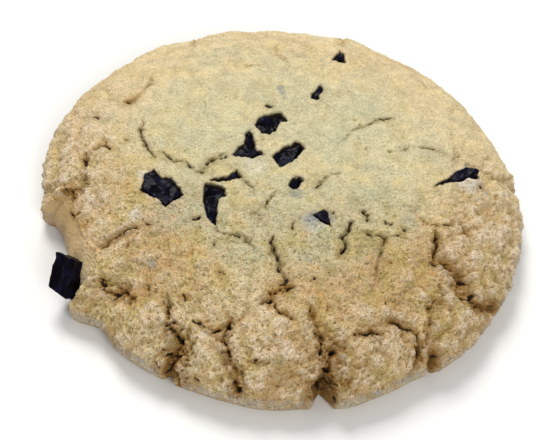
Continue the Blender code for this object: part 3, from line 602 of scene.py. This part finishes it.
def spots(u, v, marks, ragged):
    """How strongly each point lies in soft round marks, given as (u, v, radius, strength)."""
    amount = np.zeros(len(u))
    for at_u, at_v, size, strength in marks:
        share = ((u - at_u) ** 2 + (v - at_v) ** 2) / size**2
        amount = np.maximum(amount, strength * np.exp(-(share**2)))
    return held(amount * (1.0 + 0.7 * ragged))


def crust_height(x, y):
    """The height of the top at a place near the middle, as its solid has it."""
    lengths, radii, _ = profile()
    top = np.argmax(radii) + 1
    distance = np.array([np.interp(math.hypot(x, y), radii[:top], lengths[:top])])
    angle = np.array([math.degrees(math.atan2(y, x)) % 360.0])
    flat = round_form(distance, angle)[0]
    relief = broad_relief(distance, angle, flat, np.zeros(1))
    return float(place_relief(distance, angle, relief)[0, 2])


def square_on_disc(cells):
    """A square grid of points spread evenly over a disc of radius 1."""
    line = np.linspace(-1.0, 1.0, cells + 1)
    across, back = np.meshgrid(line, line)
    wide = np.abs(across) > np.abs(back)
    reach = np.where(wide, across, back)
    safe = np.where(reach == 0.0, 1.0, reach)
    turn = np.where(wide, math.pi / 4 * back / safe, math.pi / 2 - math.pi / 4 * across / safe)
    return reach * np.cos(turn), reach * np.sin(turn)


def blurred(grid, reach):
    """A grid of numbers, each averaged with its neighbours up to reach cells away."""
    for axis in (0, 1):
        padded = np.pad(grid, [(reach, reach) if axis == a else (0, 0) for a in (0, 1)], mode="edge")
        summed = np.cumsum(padded, axis=axis)
        summed = np.insert(summed, 0, 0.0, axis=axis)
        count = 2 * reach + 1
        ahead = np.take(summed, range(count, summed.shape[axis]), axis=axis)
        behind = np.take(summed, range(0, summed.shape[axis] - count), axis=axis)
        grid = (ahead - behind) / count
    return grid


def feed(node, inputs):
    """Gives each named input of a node a value, or the socket that it reads."""
    for name, value in inputs.items():
        socket = node.inputs[name]
        if isinstance(value, bpy.types.NodeSocket):
            node.id_data.links.new(value, socket)
        else:
            socket.default_value = (*value, 1.0) if socket.type == "RGBA" else value


def add_node(tree, kind, inputs, **settings):
    """Adds a node with its settings and inputs."""
    node = tree.nodes.new("ShaderNode" + kind)
    for name, value in settings.items():
        setattr(node, name, value)
    feed(node, inputs)
    return node


def new_material(name):
    """A material, its surface shader, and the place that its noises read."""
    material = bpy.data.materials.new(name)
    material.use_nodes = True
    tree = material.node_tree
    place = add_node(tree, "TexCoord", {}).outputs["Object"]
    return material, tree.nodes["Principled BSDF"], place


def mixed(amount, first, second):
    """A colour between two others."""
    inputs = {0: amount, 6: first, 7: second}
    return add_node(amount.id_data, "Mix", inputs, data_type="RGBA").outputs[2]


def ranged(value, low, high, low_to=0.0, high_to=1.0):
    """A number brought from one range to another, and held inside it."""
    inputs = {"Value": value, "From Min": low, "From Max": high, "To Min": low_to, "To Max": high_to}
    return add_node(value.id_data, "MapRange", inputs).outputs[0]


def calculated(operation, first, second, third=0.0):
    """The result of one step of arithmetic."""
    inputs = {0: first, 1: second, 2: third}
    return add_node(first.id_data, "Math", inputs, operation=operation).outputs[0]


def times(first, second):
    """Two numbers multiplied."""
    return calculated("MULTIPLY", first, second)


def shaded(colour, amount):
    """A colour made lighter or darker."""
    inputs = {0: colour, "Scale": amount}
    return add_node(amount.id_data, "VectorMath", inputs, operation="SCALE").outputs[0]


def bumped(height, strength, distance, under=None):
    """A surface roughened by a height, over another such surface if there is one."""
    inputs = {"Strength": strength, "Distance": distance, "Height": height}
    if under:
        inputs["Normal"] = under
    return add_node(height.id_data, "Bump", inputs).outputs[0]


def grain_of(place, scale, detail, roughness):
    """Noise of one scale, in cells a metre."""
    inputs = {"Vector": place, "Scale": scale, "Detail": detail, "Roughness": roughness}
    return add_node(place.id_data, "TexNoise", inputs).outputs["Fac"]


def dough_material(colours):
    """Baked cookie dough, oven-browned. Its crust is dry and matte with a sugary,
    sandy grain; cracks show the darker, moister inside of the dough, painted shade darkens hollows, pores
    and creases, and lumps have pale tops that are partly dry sugar and partly painted highlight."""
    material, shader, place = new_material("baked_cookie_dough_sandy_crust")
    read = {
        name: add_node(place.id_data, "Attribute", {}, attribute_name=name).outputs["Fac"]
        for name in FIELDS
    }
    # Sugar and flour grains of about 0.3 mm, clumps of 1.2 mm, patches of 6 mm and of 20 mm
    sand = grain_of(place, 3300.0, 2.0, 0.6)
    clumps = grain_of(place, 800.0, 4.0, 0.6)
    patches = grain_of(place, 170.0, 3.0, 0.55)
    zones = grain_of(place, 50.0, 2.0, 0.5)
    # Pale in the middle, golden at the rim and toasted at the front, with ochre and
    # olive patches where the crust is rough
    rough, toast = read["rough"], calculated("ADD", read["toast"], patches)
    crust = mixed(ranged(toast, 0.42, 1.15), colours.middle, colours.golden)
    crust = mixed(ranged(toast, 1.05, 1.75), crust, colours.toasted)
    warm = times(ranged(zones, 0.42, 0.6), rough)
    warm = times(warm, ranged(read["toast"], 0.1, 0.7))
    crust = mixed(times(warm, 0.5), crust, colours.ochre)
    olive = times(ranged(patches, 0.5, 0.62), rough)
    crust = mixed(times(olive, 0.55), crust, colours.olive)
    # Flakes of 2.6 mm, amber and lemon, lighter and darker
    flakes = grain_of(place, 380.0, 3.0, 0.6)
    crumbly = ranged(rough, 0.45, 1.0, 0.1, 1.0)
    crust = mixed(times(ranged(flakes, 0.52, 0.66, 0.0, 0.5), crumbly), crust, colours.ochre)
    crust = mixed(times(ranged(flakes, 0.49, 0.37, 0.0, 0.5), crumbly), crust, colours.olive)
    mottle = times(ranged(flakes, 0.3, 0.7, 0.83, 1.1), ranged(patches, 0.3, 0.7, 0.93, 1.07))
    crust = shaded(crust, mottle)
    # Sugary dust with painted highlight on raised tops and sides, flour, films of melted chocolate, and
    # painted shade as a grey strip at the foot of the rim
    dusty_and_lit = times(read["dusty_and_lit"], clumps)
    crust = mixed(ranged(dusty_and_lit, 0.1, 0.55, 0.0, 0.8), crust, colours.dust_and_highlight)
    crust = mixed(times(read["pale"], clumps), crust, colours.pale)
    film = times(read["stain"], ranged(patches, 0.35, 0.6, 0.3, 0.85))
    crust = mixed(film, crust, colours.stain)
    crust = mixed(read["foot"], crust, colours.rim_foot_shade)
    # Brown bits, and the salt and pepper of the sand, stronger where the crust is rough
    bits = ranged(grain_of(place, 1700.0, 2.0, 0.6), 0.59, 0.68, 0.0, 0.7)
    crust = mixed(times(bits, crumbly), crust, colours.crack)
    fleck = calculated("MULTIPLY_ADD", clumps, 0.35, sand)
    darkest = ranged(rough, 0.0, 1.0, 0.88, 0.66)
    crust = shaded(crust, ranged(fleck, 0.52, 0.8, darkest, 1.13))
    # Moist crumb in the cracks with painted shade in the hollows, pores and creases, and dark torn pits
    # with painted shade in them and in the gaps round the chocolate, with broken edges
    broken = calculated("MULTIPLY_ADD", sand, 0.7, -0.35)
    crumb_and_shade = calculated("ADD", calculated("MAXIMUM", read["crack"], read["hollow_shade"]), broken)
    opened = mixed(ranged(read["toast"], 0.25, 0.6), colours.dry_crumb_and_shade, colours.crumb_and_shade)
    crust = mixed(ranged(crumb_and_shade, 0.08, 0.7, 0.0, 0.85), crust, opened)
    crust = mixed(ranged(crumb_and_shade, 0.6, 1.1), crust, colours.crack)
    torn = calculated("ADD", read["pit_and_shade"], broken)
    crust = mixed(ranged(torn, 0.3, 1.0), crust, colours.pit_and_shade)
    # The browned base, darker in patches and open-pored
    browned = mixed(ranged(patches, 0.35, 0.65), colours.scorched, colours.underside)
    browned = mixed(ranged(clumps, 0.5, 0.68, 0.0, 0.5), browned, colours.golden)
    browned = shaded(browned, ranged(fleck, 0.52, 0.72, 0.55, 1.05))
    crust = mixed(read["base"], crust, browned)
    sandy = bumped(sand, 0.9, 0.0007, bumped(clumps, 0.5, 0.0008))
    surface = {"Base Color": crust, "Normal": sandy, "Roughness": 0.8, "IOR": 1.45}
    feed(shader, {**surface, "Specular IOR Level": 0.3})
    return material


def chocolate_material(colours):
    """Dark chocolate, cut and then softened by the oven. It is near black with a
    satin gloss, and bluish patches stand partly for where cocoa butter has bloomed and partly for painted
    sheen."""
    material, shader, place = new_material("dark_chocolate_oven_softened")
    clouds = grain_of(place, 420.0, 4.0, 0.6)
    specks = grain_of(place, 2200.0, 2.0, 0.5)
    # Bluish patches: partly bloom, partly painted sheen
    skin = mixed(ranged(clouds, 0.45, 0.7, 0.0, 0.7), colours.chocolate, colours.bloom_and_sheen)
    gloss = ranged(clouds, 0.4, 0.7, 0.24, 0.42)
    pitted = bumped(specks, 0.08, 0.0001, bumped(clouds, 0.15, 0.0003))
    surface = {"Base Color": skin, "Normal": pitted, "Roughness": gloss, "IOR": 1.46}
    feed(shader, {**surface, "Specular IOR Level": 0.05})
    return material


def plaster_material(colours):
    """A matte painted floor, rolled, with the faintest mottling."""
    material, shader, place = new_material("matte_painted_floor")
    tone = ranged(grain_of(place, 9.0, 3.0, 0.5), 0.0, 1.0, 0.97, 1.0)
    paint = shaded(tuple(colours.floor), tone)
    feed(shader, {"Base Color": paint, "Roughness": 0.9})
    return material


def link_object(name, mesh, material, slot=None):
    """A new object of a mesh that rides with the cookie."""
    obj = bpy.data.objects.new(name, mesh)
    bpy.context.scene.collection.objects.link(obj)
    mesh.materials.clear()
    mesh.materials.append(material)
    if slot:
        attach(obj, "root")
    return obj


def shared_material(name, maker, colours):
    """The named material, made the first time that it is asked for."""
    return bpy.data.materials.get(name) or maker(colours)


def crust_grid(cells, sizes):
    """The crust as a square grid of points that covers the top and the sides, and the
    fields that its material reads, each about 0 to 1."""
    across, back = square_on_disc(cells)
    reach = profile()[0][-1]
    u, v = across.ravel() * reach, back.ravel() * reach
    distance, angle = np.hypot(u, v), np.degrees(np.arctan2(v, u)) % 360.0
    flat = round_form(distance, angle)[0]
    rim = smoothstep(18.0, 42.0, distance)
    front = smoothstep(8.0, -24.0, v)
    scoop = held(2.5 * scoop_depth(distance, angle) / SCOOP_DEPTH)
    whole = 1.0 - scoop
    sides = rim * smoothstep(24.0, 8.0, np.abs(v)) * whole

    def wave(size, seed):
        return noise_field(flat, size, seed)

    cracks, near = crack_depth(u, v, flat)
    cracks = cracks * sizes.crack_depth
    relief = broad_relief(distance, angle, flat, cracks)
    deep, dark, close = pit_depth(u, v, flat)
    relief -= deep * 0.8 * sizes.crack_depth

    # Broken crumb at the front, on the sides and beside cracks; the back is smoother
    rough = held(0.4 + 0.6 * front + 0.3 * rim * smoothstep(20.0, 2.0, v))
    rough = rough * (1.0 - 0.85 * scoop)
    crumbs, specks = wave(1.2, 13), wave(0.8, 22)
    grain = sizes.grain_height / MM
    patchy = 0.65 + 0.7 * smoothstep(-0.35, 0.35, wave(5.0, 26))
    relief += grain * rough * patchy * 2.1 * crumb_field(flat, CRUMB_SIZE, 10)
    relief += grain * (0.2 + 0.6 * rough) * 1.5 * wave(GRAIN_SIZE, 12)
    swells = sum(height * wave(size, seed) for height, size, seed in BACK_SWELLS)
    relief += (1.0 - 0.7 * rough) * whole * swells
    seam = np.abs(wave(LUMP_SIZE, 24) + 0.12 * crumbs)
    lumpy = rough * (0.25 + 0.75 * rim)
    relief += LUMP_HEIGHT * lumpy * (smoothstep(0.0, 0.3, seam) - 0.6)
    seams = smoothstep(0.14, 0.02, seam) * lumpy
    pocks = smoothstep(0.22, 0.5, specks) * rough * smoothstep(-0.2, 0.3, wave(5.0, 23))
    relief -= POCK_DEPTH * pocks
    relief += SIDE_CRAG[0] * sides * crumb_field(flat, SIDE_CRAG[1], 33, 0.8, 3)
    rubble = smoothstep(0.05, 0.55, near) * (0.3 + 0.7 * rim) * rough
    relief += rubble * (0.25 * crumbs + RUBBLE[0] * crumb_field(flat, RUBBLE[1], 31, 0.35, 4))

    open_here = smoothstep(0.25, 0.5, wave(4.5, 19) + 0.7 * near + 0.1 * front * rim)
    pores = pores_of(flat, PORE_SPACING, PORE_RADIUS, 18) * open_here * whole
    relief -= PORE_DEPTH * pores
    open_here = smoothstep(0.1, 0.45, wave(2.6, 28) + 0.5 * near + 0.3 * close)
    open_here = open_here * (0.35 + 0.65 * rough)
    fine_pores = pores_of(flat, FINE_PORE_SPACING, FINE_PORE_RADIUS, 27) * open_here * whole
    relief -= FINE_PORE_DEPTH * fine_pores

    # Pockets round the chocolate, with a faint raised edge, and their walls painted dark as painted shade
    # in the gap round each chunk
    ragged = wave(1.1, 14)
    stain = spots(u, v, STAINS, ragged)
    melt, pocket_shade = np.zeros((2, len(u)))
    edge_wander = 0.35 * wave(1.5, 15) + 0.2 * wave(0.7, 25) - 0.05
    rise, beside, width = POCKET_EDGE
    for _, proud, _, *outline in CHUNKS:
        away = signed_distance(flat[:, 0], flat[:, 1], pairs(outline)) + edge_wander
        relief -= smoothstep(0.2, -0.3, away) * (POCKET_DEPTH - min(proud, 0.0))
        relief += rise * np.exp(-(((away - beside) / width) ** 2))
        stain = np.maximum(stain, 0.3 * smoothstep(0.5, -0.1, away))
        melt = np.maximum(melt, 0.3 * smoothstep(0.7, 0.0, away))
        pocket_shade = np.maximum(pocket_shade, smoothstep(0.3, -0.05, away))

    # What the material reads: painted shade along the scoop's lip and in the hollows, the crack colour
    # with painted shade in the crevices, and pale tops with painted highlight
    height = relief.reshape(cells + 1, cells + 1)
    step = max(1, round(0.4 / (2 * reach / cells)))
    # Painted shade: how far each point lies below its neighbours, which darkens the hollows
    hollow_shade = (blurred(height, step) - height).ravel()
    raised = (height - blurred(height, 6 * step)).ravel()
    toast = 0.12 + 0.55 * rim + 0.5 * front * smoothstep(20.0, 32.0, distance)
    toast = toast + 0.2 * wave(11.0, 16) + 0.12 * raised
    # Painted shade: a greyish strip at the foot of the rim, fading upward
    up_from_base = reach - distance - 0.7 * wave(4.0, 30) - 0.4 * crumbs
    foot_shade_strip = smoothstep(*FOOT_SHADE_STRIP, up_from_base)
    notched = held(notch_depth(distance, angle) / 0.8)
    # Painted shade: dark specks in the pores beside cracks and in the notches
    speckled_shade = np.maximum(
        fine_pores * smoothstep(0.15, 0.6, near + 0.5 * close),
        notched * smoothstep(-0.1, 0.3, specks),
    )
    valley = np.maximum(held(cracks / 1.8), notched)
    valley = valley * (1.0 - 0.7 * smoothstep(0.05, 0.45, specks))
    halo = close * (0.75 + 0.5 * crumbs)
    # Painted shade along the scoop's lip; the scoop's wall is darker where it lies further back
    lip_shade = smoothstep(*LIP_SHADE_RUN, distance) * smoothstep(*LIP_SHADE_START, angle) * smoothstep(*LIP_SHADE_END, angle)
    crack = np.maximum(0.4 * scoop * smoothstep(-33.0, -22.0, v), 0.45 * lip_shade) + melt
    # The crack colour in the cracks, with painted shade in notches, pores, pocks and the seams between
    # lumps
    crack += 0.7 * valley + 0.38 * halo + 0.28 * near
    crack += 0.4 * pores + 0.6 * fine_pores + 0.3 * pocks + 0.3 * seams
    # Dust with painted highlight: raised tops, the listed tops and the sides are painted lighter
    dusty_and_lit = held(raised * 1.8 + 0.1) * (0.3 + 0.7 * rim) * rough
    dusty_and_lit += 0.45 * spots(u, v, DRY_AND_LIT_TOPS, ragged) + 0.25 * sides
    fields = {
        "toast": np.clip(toast, 0.0, 1.3),
        "crack": held(crack),
        # Pits, with painted shade in pores and notches and in the gaps round the chocolate
        "pit_and_shade": np.clip(np.maximum(dark, 0.75 * speckled_shade) + 1.3 * pocket_shade, 0.0, 1.3),
        "hollow_shade": np.clip((hollow_shade - 0.03) * 2.0, 0.0, 0.4),
        "dusty_and_lit": held(dusty_and_lit),
        "stain": stain,
        "pale": spots(u, v, PALE_MARKS, ragged),
        "rough": rough,
        # Painted shade at the foot of the rim
        "foot": held(0.6 + 0.5 * crumbs) * foot_shade_strip * (1.0 - notched),
        "base": np.zeros(len(u)),
    }
    return place_relief(distance, angle, relief), fields


def grid_normals(points, count):
    """The direction that each point of a grid faces, so that its pieces meet unseen."""
    grid = points.reshape(count, count, 3)
    facing = np.cross(np.gradient(grid, axis=1), np.gradient(grid, axis=0)).reshape(-1, 3)
    facing += 1e-7 * points * (1.0, 1.0, 0.0)
    return facing / np.linalg.norm(facing, axis=1, keepdims=True).clip(1e-12)


def dough_piece(name, points, faces, fields, facing, colours):
    """One piece of the dough's skin, with the fields that its material reads."""
    mesh = bpy.data.meshes.new(name)
    mesh.from_pydata((points * MM).tolist(), [], faces)
    mesh.shade_smooth()
    if facing is not None:
        mesh.normals_split_custom_set_from_vertices(facing.tolist())
    for field, values in fields.items():
        attribute = mesh.attributes.new(field, "FLOAT", "POINT")
        attribute.data.foreach_set("value", values.astype(np.float32))
    material = shared_material("baked_cookie_dough_sandy_crust", dough_material, colours)
    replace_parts(link_object(name, mesh, material, "baked_dough"), "dough")


class COOKIE_OT_dough(bpy.types.Operator):
    """Adds the dough: crust, crevices and scoop in four pieces, and the browned base"""

    bl_idname = "cookie.add_dough"
    bl_label = "Add dough"

    def execute(self, context):
        sizes, colours = context.scene.cookie_sizes, context.scene.cookie_colours
        cells = TOP_CELLS
        count, half = cells + 1, cells // 2
        points, fields = crust_grid(cells, sizes)
        facing = grid_normals(points, count)
        index = np.arange(count * count).reshape(count, count)
        local = np.arange((half + 1) ** 2).reshape(half + 1, half + 1)
        quads = np.stack((local[:-1, :-1], local[:-1, 1:], local[1:, 1:], local[1:, :-1]), -1)
        for name, row, column in (
            ("dough_front_left", 0, 0), ("dough_front_right", 0, half),
            ("dough_back_left", half, 0), ("dough_back_right", half, half),
        ):
            part = index[row : row + half + 1, column : column + half + 1].ravel()
            own = {field: values[part] for field, values in fields.items()}
            faces = quads.reshape(-1, 4).tolist()
            dough_piece(name, points[part], faces, own, facing[part], colours)

        loop = points[np.concatenate((index[0, :-1], index[:-1, -1], index[-1, :0:-1], index[:0:-1, 0]))]
        whole, faces = [loop], []
        around = np.arange(len(loop))
        for ring in range(1, BASE_RINGS):
            share = 1.0 - (ring / BASE_RINGS) ** 1.3
            below = loop * (share, share, 0.0)
            below[:, 2] = 0.12 * held(noise_field(below, 6.0, 17)) * min(ring, 2) / 2
            outer = around + (ring - 1) * len(loop)
            inner = outer + len(loop)
            faces += np.stack((np.roll(outer, -1), outer, inner, np.roll(inner, -1)), 1).tolist()
            whole.append(below)
        middle = len(loop) * BASE_RINGS
        whole.append(np.zeros((1, 3)))
        faces += [(int(after), int(here), middle) for here, after in zip(inner, np.roll(inner, -1))]
        base = {field: np.full(middle + 1, 1.0 if field == "base" else 0.0) for field in FIELDS}
        dough_piece("dough_base", np.concatenate(whole), faces, base, None, colours)
        return {"FINISHED"}


def mesh_of(name, shape):
    """A mesh with the faces of an edit mesh, which is used up."""
    mesh = bpy.data.meshes.new(name)
    shape.to_mesh(mesh)
    shape.free()
    return mesh


def add_melted(context, name, node, shape, voxel, seed):
    """A piece of chocolate from a closed blocky shape: it becomes one skin, with edges
    softened by the heat and uneven faces."""
    sizes, colours = context.scene.cookie_sizes, context.scene.cookie_colours
    material = shared_material("dark_chocolate_oven_softened", chocolate_material, colours)
    obj = link_object(name, mesh_of(name, shape), material, "dark_chocolate")
    skin = obj.modifiers.new("skin", "REMESH")
    skin.mode = "VOXEL"
    skin.voxel_size = voxel * MM
    soften = obj.modifiers.new("soften", "SMOOTH")
    soften.factor = 0.5
    soften.iterations = max(1, round((sizes.chocolate_rounding / MM / voxel) ** 2))
    bpy.context.view_layer.update()
    graph = bpy.context.evaluated_depsgraph_get()
    mesh = bpy.data.meshes.new_from_object(obj.evaluated_get(graph))
    obj.modifiers.clear()
    old, obj.data = obj.data, mesh
    bpy.data.meshes.remove(old)
    places = np.empty(len(mesh.vertices) * 3)
    mesh.vertices.foreach_get("co", places)
    places = places.reshape(-1, 3)
    normals = np.array([vertex.normal for vertex in mesh.vertices])
    uneven = 0.3 * noise_field(places / MM, 1.6, seed) + 0.07 * noise_field(places / MM, 0.6, seed + 1)
    places += normals * (uneven * MM)[:, None]
    mesh.vertices.foreach_set("co", places.ravel())
    mesh.update()
    mesh.shade_smooth()
    mesh.materials.clear()
    mesh.materials.append(material)
    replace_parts(obj, node)


def chunk_shape(number, proud, thickness, outline):
    """A chunk that narrows downwards, as a closed edit mesh."""
    middle = sum((Vector(point) for point in outline), Vector((0.0, 0.0))) / len(outline)
    top = crust_height(*middle) + proud
    shape = bmesh.new()
    rims = []
    for level, scale in ((top - thickness, CHUNK_TAPER), (top, 1.0)):
        rims.append([])
        for index, point in enumerate(outline):
            place = middle + (Vector(point) - middle) * scale
            lift = CHUNK_UNEVEN * math.sin(2.4 * index + number) if scale == 1.0 else 0.0
            rims[-1].append(shape.verts.new((place.x * MM, place.y * MM, (level + lift) * MM)))
    for rim in rims:
        shape.faces.new(rim)
    for index in range(len(outline)):
        after = (index + 1) % len(outline)
        shape.faces.new((rims[0][index], rims[0][after], rims[1][after], rims[1][index]))
    bmesh.ops.recalc_face_normals(shape, faces=shape.faces)
    return shape


class COOKIE_OT_chocolate(bpy.types.Operator):
    """Adds the chocolate chunks that sit in the top of the dough"""

    bl_idname = "cookie.add_chocolate"
    bl_label = "Add chocolate chunks"

    def execute(self, context):
        for number, (name, proud, thickness, *outline) in enumerate(CHUNKS):
            shape = chunk_shape(number, proud, thickness, pairs(outline))
            seed = CHUNK_SEED + 2 * number
            add_melted(context, f"chocolate_{name}", f"chunk_{name}", shape, CHUNK_VOXEL, seed)
        return {"FINISHED"}


class COOKIE_OT_edge_block(bpy.types.Operator):
    """Adds the block of chocolate that stands out of the scoop in the left side"""

    bl_idname = "cookie.add_edge_block"
    bl_label = "Add edge block"

    def execute(self, context):
        shape = bmesh.new()
        bmesh.ops.create_cube(shape, size=1.0)
        half = BLOCK_SIZE[0] / 2 * MM
        for vertex in shape.verts:
            vertex.co = [side * part * MM for side, part in zip(BLOCK_SIZE, vertex.co)]
            if vertex.co.y > 0:
                vertex.co.y -= BLOCK_OBLIQUE[0] * (half + vertex.co.x)
            else:
                vertex.co.y += BLOCK_OBLIQUE[1] * (half - vertex.co.x)
        turn = Euler([math.radians(angle) for angle in BLOCK_TURN]).to_matrix().to_4x4()
        placed = Matrix.Translation(Vector(BLOCK_CENTRE) * MM) @ turn
        bmesh.ops.transform(shape, matrix=placed, verts=shape.verts)
        add_melted(context, "chocolate_edge_block", "block_edge", shape, BLOCK_VOXEL, BLOCK_SEED)
        return {"FINISHED"}


class COOKIE_OT_stage(bpy.types.Operator):
    """Adds the pale floor, the soft light and the camera"""

    bl_idname = "cookie.add_stage"
    bl_label = "Add stage"

    def execute(self, context):
        scene = context.scene
        shape = bmesh.new()
        bmesh.ops.create_grid(shape, x_segments=8, y_segments=8, size=FLOOR_REACH)
        floor = link_object("floor", mesh_of("floor", shape), plaster_material(scene.cookie_colours))

        world = bpy.data.worlds.new("soft_room_light")
        world.use_nodes = True
        sky = world.node_tree.nodes["Background"]
        sky.inputs["Color"].default_value = SKY_COLOUR
        sky.inputs["Strength"].default_value = SKY_STRENGTH
        scene.world = world
        for name, place, size, power in LAMPS:
            lamp = bpy.data.lights.new(name, "AREA")
            lamp.size = size
            lamp.energy = power
            light = bpy.data.objects.new(name, lamp)
            light.location = place
            light.rotation_euler = (-Vector(place)).to_track_quat("-Z", "Y").to_euler()
            scene.collection.objects.link(light)

        raised, roll = math.radians(VIEW_ELEVATION), math.radians(VIEW_ROLL)
        back = Vector((0.0, -math.cos(raised), math.sin(raised)))
        right = Vector((1.0, 0.0, 0.0))
        up = back.cross(right)
        across = right * math.cos(roll) + up * math.sin(roll)
        axes = (across, up * math.cos(roll) - right * math.sin(roll), back)
        camera = bpy.data.objects.new("camera", bpy.data.cameras.new("camera"))
        place = Matrix.Translation((Vector(VIEW_TARGET) + back * VIEW_DISTANCE) * MM)
        camera.matrix_world = place @ Matrix(axes).transposed().to_4x4()
        camera.data.lens = VIEW_LENS
        camera.data.sensor_width = SENSOR_WIDTH
        camera.data.clip_start = 0.01
        scene.collection.objects.link(camera)
        scene.camera = camera
        scene.view_settings.view_transform = "Standard"
        return {"FINISHED"}


class COOKIE_PT_panel(bpy.types.Panel):
    """Lists the cookie's sizes, colours and operators"""

    bl_idname = "COOKIE_PT_panel"
    bl_label = "Cookie"
    bl_space_type = "VIEW_3D"
    bl_region_type = "UI"
    bl_category = "Cookie"

    def draw(self, context):
        for group in (context.scene.cookie_sizes, context.scene.cookie_colours):
            for name in group.__annotations__:
                self.layout.prop(group, name)
        for operator in OPERATORS:
            self.layout.operator(operator.bl_idname)


OPERATORS = (COOKIE_OT_stage, COOKIE_OT_dough, COOKIE_OT_chocolate, COOKIE_OT_edge_block)
CLASSES = (CookieSizes, CookieColours, *OPERATORS, COOKIE_PT_panel)


def register():
    for cls in CLASSES:
        bpy.utils.register_class(cls)
    bpy.types.Scene.cookie_sizes = PointerProperty(type=CookieSizes)
    bpy.types.Scene.cookie_colours = PointerProperty(type=CookieColours)


def unregister():
    del bpy.types.Scene.cookie_colours
    del bpy.types.Scene.cookie_sizes
    for cls in reversed(CLASSES):
        bpy.utils.unregister_class(cls)


def main():
    register()
    bpy.ops.cookie.add_stage()
    bpy.ops.cookie.add_dough()
    bpy.ops.cookie.add_chocolate()
    bpy.ops.cookie.add_edge_block()
    bpy.context.view_layer.update()


if __name__ == "__main__":
    main()
